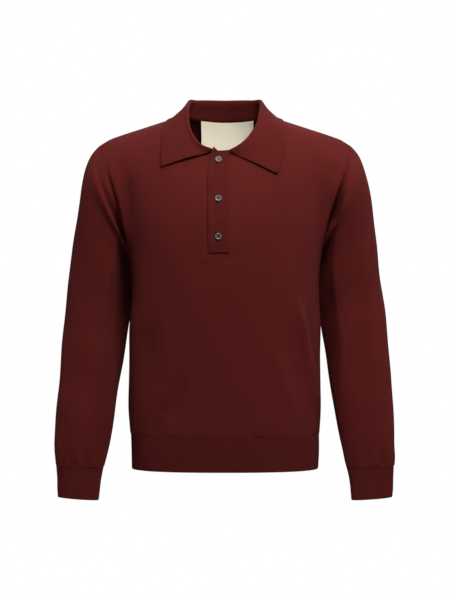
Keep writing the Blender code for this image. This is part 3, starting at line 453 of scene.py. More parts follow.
def shell(name, outer, thick, facing, uv, closed=False, step=3, soft_edge=0.0, keep=None):
    """A thin closed shell: the fine grid `outer`, an inner face that takes every `step`th point, and a rim round every edge. `uv` is the place on the cut cloth in metres, and `keep` marks the coarse cells that are there."""
    outer = np.array(outer, float)
    rows, cols = outer.shape[:2]
    cells = cols if closed else cols - 1
    assert (rows - 1) % step == 0 and cells % step == 0, (name, rows, cols)
    if soft_edge:
        outer[0] -= facing[0] * soft_edge
        outer[-1] -= facing[-1] * soft_edge
        if not closed:
            outer[1:-1, 0] -= facing[1:-1, 0] * soft_edge
            outer[1:-1, -1] -= facing[1:-1, -1] * soft_edge
    inner = (outer - facing * thick)[::step, ::step]
    in_uv = uv[::step, ::step]
    r2, c2 = inner.shape[:2]
    cells2 = cells // step
    keep = np.ones((r2 - 1, cells2), bool) if keep is None else keep
    half = rows * cols
    verts = np.concatenate([outer.reshape(-1, 3), inner.reshape(-1, 3)])
    at = lambda i, j: i * cols + (j % cols)
    at2 = lambda i, j: half + i * c2 + (j % c2)
    fine = np.repeat(np.repeat(keep, step, 0), step, 1)
    I, J = np.nonzero(fine)
    quads = np.stack([at(I, J), at(I, J + 1), at(I + 1, J + 1), at(I + 1, J)], -1)
    quv = np.stack([uv[I, J], uv[I, J + 1], uv[I + 1, J + 1], uv[I + 1, J]], 1)
    K, L = np.nonzero(keep)
    quads2 = np.stack([at2(K + 1, L), at2(K + 1, L + 1), at2(K, L + 1), at2(K, L)], -1)
    quv2 = np.stack([in_uv[K + 1, L], in_uv[K + 1, L + 1], in_uv[K, L + 1], in_uv[K, L]], 1)
    # a second map with every face apart
    b1 = np.stack([np.stack([0.005 + 0.99 * (J + dj) / cells, 0.005 + 0.70 * (I + di) / (rows - 1)], -1) for di, dj in ((0, 0), (0, 1), (1, 1), (1, 0))], 1)
    b2 = np.stack([np.stack([0.005 + 0.99 * (L + dj) / cells2, 0.72 + 0.20 * (K + di) / (r2 - 1)], -1) for di, dj in ((1, 0), (1, 1), (0, 1), (0, 0))], 1)
    # every open edge of a coarse cell: its fine points and its two coarse ones
    open_edges = []
    for k in range(r2 - 1):
        for l in range(cells2):
            if not keep[k, l]:
                continue
            i0, i1, j0, j1 = k * step, (k + 1) * step, l * step, (l + 1) * step
            if k == 0 or not keep[k - 1, l]:
                open_edges.append(([(i0, j) for j in range(j0, j1 + 1)], (k, l), (k, l + 1)))
            if k == r2 - 2 or not keep[k + 1, l]:
                open_edges.append(([(i1, j) for j in range(j1, j0 - 1, -1)], (k + 1, l + 1), (k + 1, l)))
            if (l == cells2 - 1 and not closed) or (not keep[k, (l + 1) % cells2]):
                open_edges.append(([(i, j1) for i in range(i0, i1 + 1)], (k, l + 1), (k + 1, l + 1)))
            if (l == 0 and not closed) or (not keep[k, (l - 1) % cells2]):
                open_edges.append(([(i, j0) for i in range(i1, i0 - 1, -1)], (k + 1, l), (k, l)))
    tris, tuv, tb = [], [], []
    per_row = max(1, math.ceil(len(open_edges) / 5))
    half_step = (step + 1) // 2
    for e, (line, a, b) in enumerate(open_edges):
        x0, wide, y0 = 0.005 + 0.99 * (e % per_row) / per_row, 0.99 / per_row * 0.9, 0.93 + 0.012 * (e // per_row)
        ids = [at(*c) for c in line]
        uvs = [uv[c[0], min(c[1], uv.shape[1] - 1)] for c in line]
        ia, ib = at2(*a), at2(*b)
        for i in range(step):
            first = i < half_step
            tris.append((ids[i + 1], ids[i], ia if first else ib))
            tuv.append((uvs[i + 1], uvs[i], uvs[0] if first else uvs[-1]))
            tb.append(((x0 + wide * (i + 1) / step, y0), (x0 + wide * i / step, y0), (x0 if first else x0 + wide, y0 + 0.008)))
        tris.append((ids[half_step], ia, ib))
        tuv.append((uvs[half_step], uvs[0], uvs[-1]))
        tb.append(((x0 + wide * half_step / step, y0), (x0, y0 + 0.008), (x0 + wide, y0 + 0.008)))
    tris = np.array(tris)
    loops = np.concatenate([quads.ravel(), quads2.ravel(), tris.ravel()])
    used, loops = np.unique(loops, return_inverse=True)
    nq, nt = len(quads) + len(quads2), len(tris)
    starts = np.concatenate([np.arange(nq) * 4, nq * 4 + np.arange(nt) * 3])
    me = bpy.data.meshes.new(name)
    me.vertices.add(len(used))
    me.vertices.foreach_set("co", verts[used].astype(np.float32).ravel())
    me.loops.add(len(loops))
    me.loops.foreach_set("vertex_index", loops.astype(np.int32))
    me.polygons.add(nq + nt)
    me.polygons.foreach_set("loop_start", starts.astype(np.int32))
    me.update(calc_edges=True)
    for label, parts in (("Knit", (quv, quv2, np.array(tuv))), ("OFBake", (b1, b2, np.array(tb)))):
        layer = me.uv_layers.new(name=label)
        layer.data.foreach_set("uv", np.concatenate([p.reshape(-1) for p in parts]).astype(np.float32))
    me.uv_layers.active = me.uv_layers["Knit"]
    me.uv_layers["Knit"].active_render = True
    me.polygons.foreach_set("use_smooth", np.ones(nq + nt, bool))
    me.set_sharp_from_angle(angle=math.radians(60))
    ob = bpy.data.objects.new(name, me)
    bpy.context.scene.collection.objects.link(ob)
    measured[name] = area_of(outer, closed)
    return ob


def put(ob, material, slot, *nodes):
    ob.data.materials.append(material)
    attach(ob, "root")
    if nodes:
        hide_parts(*nodes)
    return ob


def plain(name, points, faces, smooth=True):
    me = bpy.data.meshes.new(name)
    me.from_pydata([tuple(float(c) for c in p) for p in points], [], faces)
    me.validate()
    if smooth:
        me.polygons.foreach_set("use_smooth", np.ones(len(me.polygons), bool))
        me.set_sharp_from_angle(angle=math.radians(50))
    ob = bpy.data.objects.new(name, me)
    bpy.context.scene.collection.objects.link(ob)
    return ob


def tree(*grids):
    points, faces = [], []
    for grid in grids:
        rows, cols = grid.shape[:2]
        first = len(points)
        points += [tuple(p) for p in grid.reshape(-1, 3)]
        faces += [(first + i * cols + j, first + i * cols + j + 1, first + (i + 1) * cols + j + 1, first + (i + 1) * cols + j)
                  for i in range(rows - 1) for j in range(cols - 1)]
    return BVHTree.FromPolygons(points, faces)


def area_of(grid, closed=False):
    g = np.concatenate([grid, grid[:, :1]], 1) if closed else grid
    a = np.cross(g[:-1, 1:] - g[:-1, :-1], g[1:, 1:] - g[:-1, :-1])
    b = np.cross(g[1:, 1:] - g[:-1, :-1], g[1:, :-1] - g[:-1, :-1])
    return float(np.linalg.norm(a, axis=-1).sum() + np.linalg.norm(b, axis=-1).sum()) / 2


def run_of(grid, axis):
    """Length along a grid, from its first row or column."""
    d = np.linalg.norm(np.diff(grid, axis=axis), axis=-1)
    return np.concatenate([np.zeros_like(d[:1] if axis == 0 else d[:, :1]), np.cumsum(d, axis=axis)], axis=axis)


# ---------------------------------------------------------------- folds

def smooth_line(points, n=28):
    """A soft curve through a fold's three points."""
    p = np.array(points, float)
    u = np.linspace(0, 1, n)[:, None]
    mid = 2 * p[1] - (p[0] + p[2]) / 2
    return (1 - u) ** 2 * p[0] + 2 * u * (1 - u) * mid + u**2 * p[2]


def fold_field(x, z, folds):
    """Height at places (x, z) from a table of folds:
    x0, z0, x1, z1, x2, z2, width_left, width_right, height, fade_in, fade_out (shares of the length)."""
    out = np.zeros_like(x)
    for x0, z0, x1, z1, x2, z2, wide_l, wide_r, height, fade_in, fade_out in folds:
        line = smooth_line(((x0, z0), (x1, z1), (x2, z2)))
        a, b = line[:-1], line[1:]
        best = np.full(x.shape, 1e9)
        side = np.zeros_like(x)
        place = np.zeros_like(x)
        for k in range(len(a)):
            d = b[k] - a[k]
            L2 = float(d @ d)
            u = ((x - a[k, 0]) * d[0] + (z - a[k, 1]) * d[1]) / L2
            uc = np.clip(u, 0, 1)
            px, pz = x - (a[k, 0] + uc * d[0]), z - (a[k, 1] + uc * d[1])
            dist = px * px + pz * pz
            near = dist < best
            best = np.where(near, dist, best)
            side = np.where(near, np.sign(px * -d[1] + pz * d[0]) * np.sign(-d[1] if abs(d[1]) > 1e-9 else 1), side)
            place = np.where(near, (k + uc) / len(a), place)
        wide = np.where(side < 0, wide_l, wide_r)
        profile = np.exp(-best / (2 * wide * wide))
        ends = ease(place, 0, max(fade_in, 1e-3)) * (1 - ease(place, 1 - max(fade_out, 1e-3), 1))
        out += height * profile * ends
    return out


def ripple(a, b, waves):
    """A gentle unevenness: rows of (waves_a, waves_b, phase, height)."""
    out = np.zeros(np.broadcast(a, b).shape)
    for ka, kb, phase, height in waves:
        out += height * np.sin(2 * math.pi * (ka * a + kb * b) + phase)
    return out

# ---------------------------------------------------------------- fold tables, metres
# x0, z0, x1, z1, x2, z2, width_left, width_right, height, fade_in, fade_out

FRONT_FOLDS = (
    (-0.2183, -0.0685, -0.1853, -0.1162, -0.1670, -0.2042, 0.0065, 0.0085, -0.0008, 0.25, 0.45),
    (0.2073, -0.0776, 0.1981, -0.1382, 0.1780, -0.2483, 0.0080, 0.0060, -0.0030, 0.25, 0.45),
    (-0.1303, -0.3620, -0.1449, -0.4427, -0.1578, -0.5271, 0.0080, 0.0110, -0.0050, 0.4, 0.4),
    (-0.0752, -0.4574, -0.0881, -0.5180, -0.1027, -0.5767, 0.0070, 0.0090, -0.0040, 0.4, 0.35),
    (-0.1027, -0.5198, -0.1156, -0.5547, -0.1303, -0.5895, 0.0055, 0.0070, -0.0030, 0.4, 0.3),
    (0.1290, -0.3180, 0.1500, -0.4200, 0.1740, -0.5600, 0.0055, 0.0055, 0.0080, 0.35, 0.15),
    (0.1480, -0.3200, 0.1630, -0.4100, 0.1750, -0.5050, 0.0055, 0.0060, -0.0040, 0.35, 0.3),
    (0.0838, -0.4134, 0.1027, -0.4758, 0.1339, -0.5638, 0.0050, 0.0065, 0.0020, 0.35, 0.3),
    (0.1064, -0.3730, 0.1193, -0.4427, 0.1486, -0.5565, 0.0080, 0.0080, -0.0014, 0.4, 0.3),
    (-0.0459, -0.1198, -0.0532, -0.2483, -0.0642, -0.3767, 0.0200, 0.0260, -0.0014, 0.4, 0.4),
    (0.0679, -0.1382, 0.0789, -0.2483, 0.0862, -0.3767, 0.0220, 0.0200, -0.0012, 0.4, 0.4),
    (0.0349, -0.3950, 0.0275, -0.4868, 0.0239, -0.5785, 0.0140, 0.0180, -0.0014, 0.4, 0.3),
    (-0.0202, -0.3400, -0.0239, -0.4317, -0.0312, -0.5418, 0.0120, 0.0160, 0.0012, 0.4, 0.3),
)
BACK_FOLDS = (
    (-0.2080, -0.0980, -0.1890, -0.1500, -0.1580, -0.2250, 0.0080, 0.0090, -0.0040, 0.3, 0.45),
    (0.2110, -0.0900, 0.1880, -0.1460, 0.1640, -0.2150, 0.0080, 0.0090, -0.0044, 0.3, 0.45),
    (-0.1480, -0.2450, -0.0950, -0.3180, -0.0380, -0.3650, 0.0080, 0.0100, -0.0030, 0.35, 0.5),
    (0.1520, -0.2600, 0.1060, -0.3350, 0.0520, -0.3900, 0.0090, 0.0090, -0.0032, 0.35, 0.5),
    (-0.1400, -0.3700, -0.1250, -0.4450, -0.1420, -0.5300, 0.0090, 0.0070, -0.0028, 0.4, 0.4),
    (0.1260, -0.4000, 0.1160, -0.4850, 0.1390, -0.5640, 0.0070, 0.0090, -0.0030, 0.4, 0.35),
    (-0.0700, -0.4550, -0.0580, -0.5200, -0.0690, -0.5760, 0.0090, 0.0070, 0.0024, 0.4, 0.35),
    (0.0560, -0.4700, 0.0640, -0.5280, 0.0540, -0.5800, 0.0080, 0.0080, 0.0022, 0.4, 0.35),
    (0.0020, -0.1100, -0.0060, -0.2300, 0.0040, -0.3300, 0.0240, 0.0200, -0.0016, 0.4, 0.4),
)
# the wearer's right sleeve, front then back
ARM_RIGHT_FRONT = (
    (-0.2023, -0.2688, -0.2079, -0.3775, -0.2210, -0.5180, 0.0050, 0.0070, 0.0022, 0.3, 0.4),
    (-0.2417, -0.3400, -0.2473, -0.4524, -0.2566, -0.5648, 0.0100, 0.0100, -0.0014, 0.4, 0.4),
    (-0.2810, -0.6023, -0.2791, -0.6304, -0.2772, -0.6528, 0.0030, 0.0030, 0.0018, 0.4, 0.2),
    (-0.2641, -0.6135, -0.2641, -0.6341, -0.2623, -0.6528, 0.0032, 0.0032, -0.0018, 0.4, 0.2),
    (-0.2922, -0.6154, -0.2922, -0.6341, -0.2904, -0.6528, 0.0030, 0.0032, -0.0014, 0.4, 0.2),
    (-0.2473, -0.6154, -0.2491, -0.6341, -0.2491, -0.6528, 0.0032, 0.0032, 0.0012, 0.4, 0.2),
)
ARM_RIGHT_BACK = (
    (-0.2620, -0.3050, -0.2420, -0.3380, -0.2130, -0.3560, 0.0070, 0.0080, -0.0034, 0.35, 0.4),
    (-0.2750, -0.3700, -0.2520, -0.3980, -0.2240, -0.4120, 0.0070, 0.0070, -0.0026, 0.35, 0.4),
    (-0.2560, -0.4300, -0.2630, -0.5000, -0.2610, -0.5700, 0.0080, 0.0080, 0.0018, 0.4, 0.4),
    (-0.2760, -0.6040, -0.2750, -0.6300, -0.2740, -0.6520, 0.0030, 0.0035, 0.0018, 0.4, 0.2),
    (-0.2560, -0.6120, -0.2570, -0.6330, -0.2560, -0.6520, 0.0032, 0.0032, -0.0016, 0.4, 0.2),
)
ARM_LEFT_FRONT = (
    (0.2623, -0.2182, 0.2735, -0.3962, 0.2810, -0.5873, 0.0060, 0.0075, 0.0026, 0.3, 0.3),
    (0.1929, -0.3213, 0.2098, -0.3550, 0.2304, -0.3962, 0.0060, 0.0080, -0.0020, 0.3, 0.35),
    (0.2473, -0.3681, 0.2248, -0.4374, 0.2154, -0.5498, 0.0060, 0.0060, 0.0024, 0.3, 0.4),
    (0.2772, -0.6135, 0.2829, -0.6341, 0.2866, -0.6528, 0.0030, 0.0030, 0.0018, 0.4, 0.2),
    (0.2922, -0.6210, 0.2941, -0.6379, 0.2941, -0.6528, 0.0030, 0.0030, -0.0016, 0.4, 0.2),
    (0.2623, -0.6135, 0.2641, -0.6341, 0.2660, -0.6528, 0.0032, 0.0032, -0.0018, 0.4, 0.2),
    (0.2473, -0.6172, 0.2491, -0.6360, 0.2510, -0.6528, 0.0030, 0.0030, 0.0012, 0.4, 0.2),
)
ARM_LEFT_BACK = (
    (0.2680, -0.2900, 0.2440, -0.3280, 0.2080, -0.3500, 0.0080, 0.0070, -0.0032, 0.35, 0.4),
    (0.2790, -0.3850, 0.2560, -0.4080, 0.2230, -0.4200, 0.0070, 0.0070, -0.0028, 0.35, 0.4),
    (0.2600, -0.4400, 0.2560, -0.5000, 0.2640, -0.5750, 0.0080, 0.0080, 0.0018, 0.4, 0.4),
    (0.2730, -0.6060, 0.2750, -0.6300, 0.2760, -0.6520, 0.0032, 0.0030, 0.0018, 0.4, 0.2),
    (0.2920, -0.6120, 0.2910, -0.6330, 0.2920, -0.6520, 0.0032, 0.0032, -0.0015, 0.4, 0.2),
)

# troughs along the armholes, from the underarm (0) to the shoulder (1):
#    place, depth on the seam, depth beside the seam on the body, and on the sleeve, width on the sleeve
CREASE_RIGHT_FRONT = (
    (0.00, 0.006, 0.000, 0.000, 0.009), (0.10, 0.016, 0.000, 0.001, 0.011), (0.22, 0.018, 0.003, 0.004, 0.012), (0.34, 0.011, 0.0075, 0.0080, 0.010),
    (0.46, 0.004, 0.0095, 0.0080, 0.008), (0.58, 0.001, 0.0070, 0.0050, 0.007), (0.70, 0.000, 0.0020, 0.0018, 0.007), (0.82, 0.000, 0.000, 0.0004, 0.007),
    (0.90, 0.000, 0.000, 0.000, 0.007), (1.00, 0.000, 0.000, 0.000, 0.007))
CREASE_LEFT_FRONT = (
    (0.00, 0.018, 0.000, 0.000, 0.016), (0.10, 0.040, 0.000, 0.000, 0.019), (0.22, 0.045, 0.000, 0.000, 0.018), (0.36, 0.037, 0.000, 0.000, 0.014),
    (0.50, 0.021, 0.000, 0.000, 0.009), (0.62, 0.010, 0.000, 0.000, 0.006), (0.74, 0.0035, 0.000, 0.000, 0.005), (0.85, 0.000, 0.000, 0.000, 0.005),
    (1.00, 0.000, 0.000, 0.000, 0.005))
CREASE_BACK = (
    (0.00, 0.000, 0.000, 0.000, 0.009), (0.12, 0.004, 0.001, 0.001, 0.009), (0.28, 0.007, 0.003, 0.003, 0.009), (0.45, 0.004, 0.004, 0.004, 0.009),
    (0.62, 0.001, 0.0025, 0.0025, 0.008), (0.80, 0.000, 0.0005, 0.0005, 0.008), (1.00, 0.000, 0.000, 0.000, 0.008))
SEAM_WIDE, BESIDE, BESIDE_WIDE = 0.0068, 0.0095, 0.0056

# where the front of a sleeve breaks and turns in toward the body:
#    height, distance of the break from the middle, how far back the inner side goes, width of the turn
TUCK_RIGHT = (
    (-0.700, 0.2400, 0.000, 0.020), (-0.600, 0.2330, 0.000, 0.020), (-0.540, 0.2290, 0.007, 0.018), (-0.480, 0.2270, 0.015, 0.018),
    (-0.400, 0.2260, 0.027, 0.016), (-0.330, 0.2225, 0.038, 0.014), (-0.270, 0.2120, 0.038, 0.014), (-0.215, 0.2080, 0.018, 0.016),
    (-0.170, 0.2100, 0.000, 0.018), (0.000, 0.2140, 0.000, 0.020))
TUCK_LEFT = (
    (-0.700, 0.2300, 0.000, 0.020), (-0.600, 0.2200, 0.000, 0.018), (-0.550, 0.2150, 0.006, 0.014), (-0.480, 0.2190, 0.013, 0.016),
    (-0.430, 0.2200, 0.020, 0.018), (-0.375, 0.2160, 0.028, 0.018), (-0.320, 0.2080, 0.036, 0.015), (-0.260, 0.2050, 0.040, 0.013),
    (-0.205, 0.2115, 0.040, 0.013), (-0.170, 0.2160, 0.028, 0.013), (-0.140, 0.2170, 0.006, 0.015), (-0.120, 0.2150, 0.000, 0.016), (0.000, 0.2140, 0.000, 0.018))

# ---------------------------------------------------------------- the body and the sleeves

LOW = np.linspace(RIB_TOP, UNDERARM, 145)
HIGH = np.linspace(0, 1, 145)[1:]
COLS = np.linspace(-1, 1, 241)
V = np.concatenate([[0.0], HIGH])
flip = np.array([-1.0, 1, 1])
first_yoke = len(LOW) - 1


def calm(grid, rows, spread, keep_sides=6):
    """Rounds the join between the level rows and the yoke, away from the seams."""
    out = grid.copy()
    n = grid.shape[1]
    sides = ease(np.minimum(np.arange(n), np.arange(n)[::-1]), 0, keep_sides)
    for turn_no in range(spread):
        mid = out.copy()
        mid[1:-1] = (out[:-2] + 2 * out[1:-1] + out[2:]) / 4
        near = ease(1 - np.abs(np.arange(len(grid)) - rows) / (spread * 0.9), 0, 0.6)
        out += (mid - out) * (near[:, None] * sides[None, :])[..., None]
    return out


front_base = calm(trunk(-1, COLS, LOW, HIGH), first_yoke, 26)
back_base = calm(trunk(1, COLS, LOW, HIGH), first_yoke, 26)
n_front, n_back = normals(front_base), -normals(back_base)

ARM_OUT = np.concatenate([[0], np.cumsum([math.dist(SLEEVE[k][:2], SLEEVE[k + 1][:2]) * 0.7 + math.dist(SLEEVE[k][2:4], SLEEVE[k + 1][2:4]) * 0.3
                                          for k in range(len(SLEEVE) - 1)])])
ARM_T = np.interp(np.linspace(0, ARM_OUT[-1], 232), ARM_OUT, np.arange(len(SLEEVE)))
TURN = np.linspace(0, 1, 241)[:-1]
arm_base = sleeve(ARM_T, TURN)
n_arm = normals(arm_base, True)

# one normal for both sides of each seam
side_n = unit(n_front[:first_yoke + 1, -1] + n_back[:first_yoke + 1, -1])
for n in (n_front, n_back):
    n[:first_yoke + 1, -1] = side_n
    n[:first_yoke + 1, 0] = side_n * flip
beyond = np.abs(COLS) > NECK_SHARE - 1e-9
both = unit(n_front[-1] + n_back[-1])
n_front[-1, beyond] = n_back[-1, beyond] = both[beyond]

loop_v = np.concatenate([V[::-1], V[1:-1]])                       # shoulder, down the front, up the back
loop_turn = np.concatenate([0.5 - 0.5 * V[::-1], 0.5 + 0.5 * V[1:-1]])
few = sleeve(np.array([0.0, 0.12]), loop_turn)
few_n = normals(sleeve(np.array([0.0, 0.05, 0.1]), loop_turn), True)[0]
yoke = np.arange(first_yoke, len(front_base))
d_front = unit(front_base[yoke, -3] - front_base[yoke, -1])
d_back = unit(back_base[yoke, -3] - back_base[yoke, -1])
down_way = unit(front_base[first_yoke - 2, -1] - front_base[first_yoke, -1])
for d in (d_front, d_back):
    w = (1 - ease(V, 0, 0.05))[:, None]
    d[:] = unit(d * (1 - w) + down_way * w)
d_panel = np.concatenate([d_front[::-1], d_back[1:-1]])
d_sleeve = unit(few[1] - few[0])
apart = unit(d_panel - d_sleeve)
seam_n = np.concatenate([n_front[yoke, -1][::-1], n_back[yoke[1:-1], -1]]) + few_n + 0.3 * (d_panel + d_sleeve)
for k in range(6):
    seam_n = (np.roll(seam_n, 1, 0) + 2 * seam_n + np.roll(seam_n, -1, 0)) / 4
    apart = unit(np.roll(apart, 1, 0) + 2 * apart + np.roll(apart, -1, 0))
seam_n = unit(seam_n - (seam_n * apart).sum(1, keepdims=True) * apart)
apart = apart * (1 + 0.3 * (1 - ease(loop_v, 0.05, 0.35)))[:, None]
m = len(V) - 1
SEAM_FRONT, SEAM_BACK = seam_n[:m + 1][::-1], np.concatenate([seam_n[m:], seam_n[:1]])
APART_FRONT, APART_BACK = apart[:m + 1][::-1], np.concatenate([apart[m:], apart[:1]])


def on_turn(values):
    """Seam values carried over to the columns of the sleeve."""
    t = np.concatenate([loop_turn, [1.0]])
    v = np.concatenate([values, values[:1]])
    return np.stack([np.interp(TURN, t, v[:, k]) for k in range(v.shape[1])], -1)


def seam_depth(table, v):
    return along(table, v)


crease_dirs = unit(seam_n + (2.2 * ease(loop_v, 0.0, 0.08) * (1 - ease(loop_v, 0.38, 0.62)))[:, None]
                   * np.where(loop_turn < 0.5, -1.0, 1.0)[:, None] * np.array([0.0, 1.0, 0.0]))
CREASE_FRONT_WAY, CREASE_BACK_WAY = crease_dirs[:m + 1][::-1], np.concatenate([crease_dirs[m:], crease_dirs[:1]])


def press(dist, on, beside, wide, power):
    """Depth of the troughs at a distance from the armhole seam."""
    return on * np.exp(-(dist / wide) ** power) + beside * np.exp(-((dist - BESIDE) / BESIDE_WIDE) ** 2)


def crease_panel(grid, n, seam_dirs, table, col, step):
    """Presses the troughs into a panel beside its armhole: `col` is the edge column and `step` the way in."""
    depths = seam_depth(table, V)
    flipped = seam_dirs * (flip if col == 0 else 1)
    width = 26
    cols = [col + step * k if col == 0 else len(COLS) - 1 - k for k in range(width)]
    part = grid[yoke][:, cols]
    run = np.concatenate([np.zeros((len(yoke), 1)), np.cumsum(np.linalg.norm(np.diff(part, axis=1), axis=-1), 1)], 1)
    push = press(run, depths[:, 0, None], depths[:, 1, None], SEAM_WIDE, 2)
    share = np.exp(-(run / 0.010) ** 2)[..., None]
    way = unit(flipped[:, None, :] * share + n[yoke][:, cols] * (1 - share))
    tail = ease(1 - run / 0.045, 0, 0.4)
    grid[np.ix_(yoke, cols)] -= way * (push * tail)[..., None]


def crease_arm(grid, n, front_table, back_table):
    front_d, back_d = seam_depth(front_table, V), seam_depth(back_table, V)
    values = np.concatenate([front_d[::-1], back_d[1:-1]])
    depth = on_turn(values)
    dirs = unit(on_turn(crease_dirs))
    run = run_of(grid, 0)
    push = press(run, depth[None, :, 0], depth[None, :, 2], depth[None, :, 3], 3)
    share = np.exp(-(run / 0.022) ** 2)[..., None]
    way = unit(dirs[None] * share + n * (1 - share))
    tail = ease(1 - run / 0.045, 0, 0.4)
    return grid - way * (push * tail)[..., None]


# the front: pressed troughs, placed folds, gathers above the rib, and a slight unevenness
X, Z = front_base[..., 0], front_base[..., 2]
edge_calm = ease(1 - np.abs(COLS), 0, 0.035)[None, :] * np.ones_like(X)
top_calm = 1 - ease(np.arange(len(X)), len(X) - 26, len(X) - 8)[:, None]
above_rib = run_of(front_base, 0)
S = np.broadcast_to(COLS[None, :], X.shape)


def gathers(s, above, seed):
    """Small puckers where the body is drawn in by the rib."""
    waves = np.zeros_like(s)
    for freq, phase, high in ((17, 0.3, 0.5), (26, 1.9, 0.35), (41, 4.0, 0.22), (11, 2.2, 0.35)):
        waves += high * np.sin(freq * s * math.pi / 2 + phase + seed + 0.6 * np.sin(5 * s + seed))
    lengthy = 0.018 + 0.012 * np.sin(7 * s + seed) ** 2
    return waves * 0.0013 * np.exp(-(above / lengthy) ** 2 / 1.3) * ease(above, 0, 0.004)


push = fold_field(X, Z, FRONT_FOLDS) * edge_calm
push += gathers(S, above_rib, 0.0) * edge_calm
push += ripple(S, Z, ((0.9, 2.1, 0.5, 0.0008), (1.7, -3.3, 2.0, 0.0006), (2.6, 5.2, 4.1, 0.0004), (3.9, -7.0, 1.0, 0.0003))) * edge_calm * ease(above_rib, 0, 0.04)
under_placket = ease((np.abs(X + 0.011) - 0.024) / 0.02) * (Z < 0.2)
push = np.where((Z > -0.27), push * under_placket, push) * top_calm
full = 0.0010 * ease(np.abs(S), 0.32, 0.5)


def to_ridge(grid):
    run = run_of(grid, 0)
    return run[-1:] - run


front = front_base + n_front * (push + full * np.exp(-(to_ridge(front_base) / 0.022) ** 2))[..., None]
crease_panel(front, n_front, CREASE_FRONT_WAY, CREASE_LEFT_FRONT, -1, -1)
crease_panel(front, n_front, CREASE_FRONT_WAY, CREASE_RIGHT_FRONT, 0, 1)

X, Z = back_base[..., 0], back_base[..., 2]
above_rib = run_of(back_base, 0)
push = fold_field(X, Z, BACK_FOLDS) * edge_calm
push += gathers(S, above_rib, 1.7) * edge_calm
push += ripple(S, Z, ((1.1, 1.9, 3.5, 0.0009), (1.9, -2.9, 1.0, 0.0006), (3.1, 4.6, 2.1, 0.0004))) * edge_calm * ease(above_rib, 0, 0.04)
push *= top_calm
back = back_base + n_back * (push + full * np.exp(-(to_ridge(back_base) / 0.022) ** 2))[..., None]
crease_panel(back, n_back, CREASE_BACK_WAY, CREASE_BACK, -1, -1)
crease_panel(back, n_back, CREASE_BACK_WAY, CREASE_BACK, 0, 1)


def whole_arm(front_folds, back_folds, front_crease, back_crease, tuck, seed, mirror_x):
    grid = arm_base.copy()
    X, Z = grid[..., 0] * (-1 if mirror_x else 1), grid[..., 2]
    facing = n_arm[..., 1]
    push = fold_field(X, Z, front_folds) * ease(-facing, 0.0, 0.35)
    push += fold_field(X, Z, back_folds) * ease(facing, 0.0, 0.35)
    run = run_of(grid, 0)
    to_cuff = run[-1:] - run
    turn_here = np.broadcast_to(TURN[None, :], X.shape)
    waves = sum(h * np.sin(2 * math.pi * f * turn_here + p + seed) for f, p, h in ((9, 0.4, 0.5), (14, 2.0, 0.4), (5, 1.1, 0.4)))
    push += waves * 0.0011 * np.exp(-(to_cuff / 0.022) ** 2) * ease(to_cuff, 0, 0.004)
    push += (0.0009 * np.sin(2 * math.pi * (turn_here + run / 0.31) + seed) + 0.0006 * np.sin(2 * math.pi * (2 * turn_here - run / 0.17) + 1 + seed)
             + 0.0004 * np.sin(2 * math.pi * (3 * turn_here + run / 0.11) + 2 + seed)) * ease(run, 0, 0.05) * ease(to_cuff, 0, 0.05)
    push *= ease(run, 0, 0.012) * ease(to_cuff, 0, 0.003)
    push += 0.0013 * np.exp(-((run - 0.007) / 0.018) ** 2) * np.exp(-(np.minimum(turn_here, 1 - turn_here) / 0.08) ** 2)
    grid = grid + n_arm * push[..., None]
    # the sleeve's head is rounded
    head = ease(1 - np.minimum(TURN, 1 - TURN) / 0.15)[None, :] * ease(1 - np.arange(len(grid)) / 30.0)[:, None]
    for k in range(40):
        mid = grid.copy()
        mid[1:-1] = (grid[:-2] + grid[2:]) / 2
        grid += (mid - grid) * (0.5 * head)[..., None]
    breaks, deep, wide = [along(tuck, grid[..., 2])[..., k] for k in range(3)]
    past = np.clip((breaks - grid[..., 0]) / wide, 0, None)
    inward = past**2 / (past + 0.35)
    round_it = ease(turn_here, 0.10, 0.30) * (1 - ease(turn_here, 0.50, 0.68))
    inward = np.clip(deep, 0, None) * inward * round_it * ease(run, 0.003, 0.026) * ease(to_cuff, 0, 0.04)
    room = np.clip(grid[..., 1].max(axis=1, keepdims=True) - 0.010 - grid[..., 1], 1e-5, None)
    inward = room * np.tanh(inward / room)
    grid[..., 1] += inward
    grid[..., 0] += grid[..., 0] * inward / 3.2 * ease(-0.340 - grid[..., 2], 0, 0.03)
    # above the open gap the inner side lies a little behind the body
    behind = ease(turn_here, 0.36, 0.47) * (1 - ease(turn_here, 0.55, 0.68)) * ease(run, 0.001, 0.013)
    grid[..., 0] -= 0.0050 * behind * ease(grid[..., 2], -0.360, -0.328)
    return crease_arm(grid, normals(grid, True), front_crease, back_crease)


arm_left = whole_arm(ARM_LEFT_FRONT, ARM_LEFT_BACK, CREASE_LEFT_FRONT, CREASE_BACK, TUCK_LEFT, 0.0, False)
arm_right = whole_arm(ARM_RIGHT_FRONT, ARM_RIGHT_BACK, CREASE_RIGHT_FRONT, CREASE_BACK, TUCK_RIGHT, 2.1, True)


def panel_facing(grid, n_old, sign, seam_dirs):
    n = normals(grid) * sign
    n[:first_yoke + 1, [0, -1]] = n_old[:first_yoke + 1, [0, -1]]
    n[-1, beyond] = n_old[-1, beyond]
    n[yoke, -1] = seam_dirs
    n[yoke, 0] = seam_dirs * flip
    return n


def panel_gap(grid, apart_here):
    out = grid.copy()
    low = np.arange(first_yoke)
    out[low, -1] += unit(grid[low, -2] - grid[low, -1]) * GAP / 2
    out[low, 0] += unit(grid[low, 1] - grid[low, 0]) * GAP / 2
    out[yoke, -1] += apart_here * GAP / 2
    out[yoke, 0] += apart_here * flip * GAP / 2
    out[0] += unit(grid[1] - grid[0]) * GAP / 2
    out[-1] += unit(grid[-2] - grid[-1]) * GAP / 2
    return out


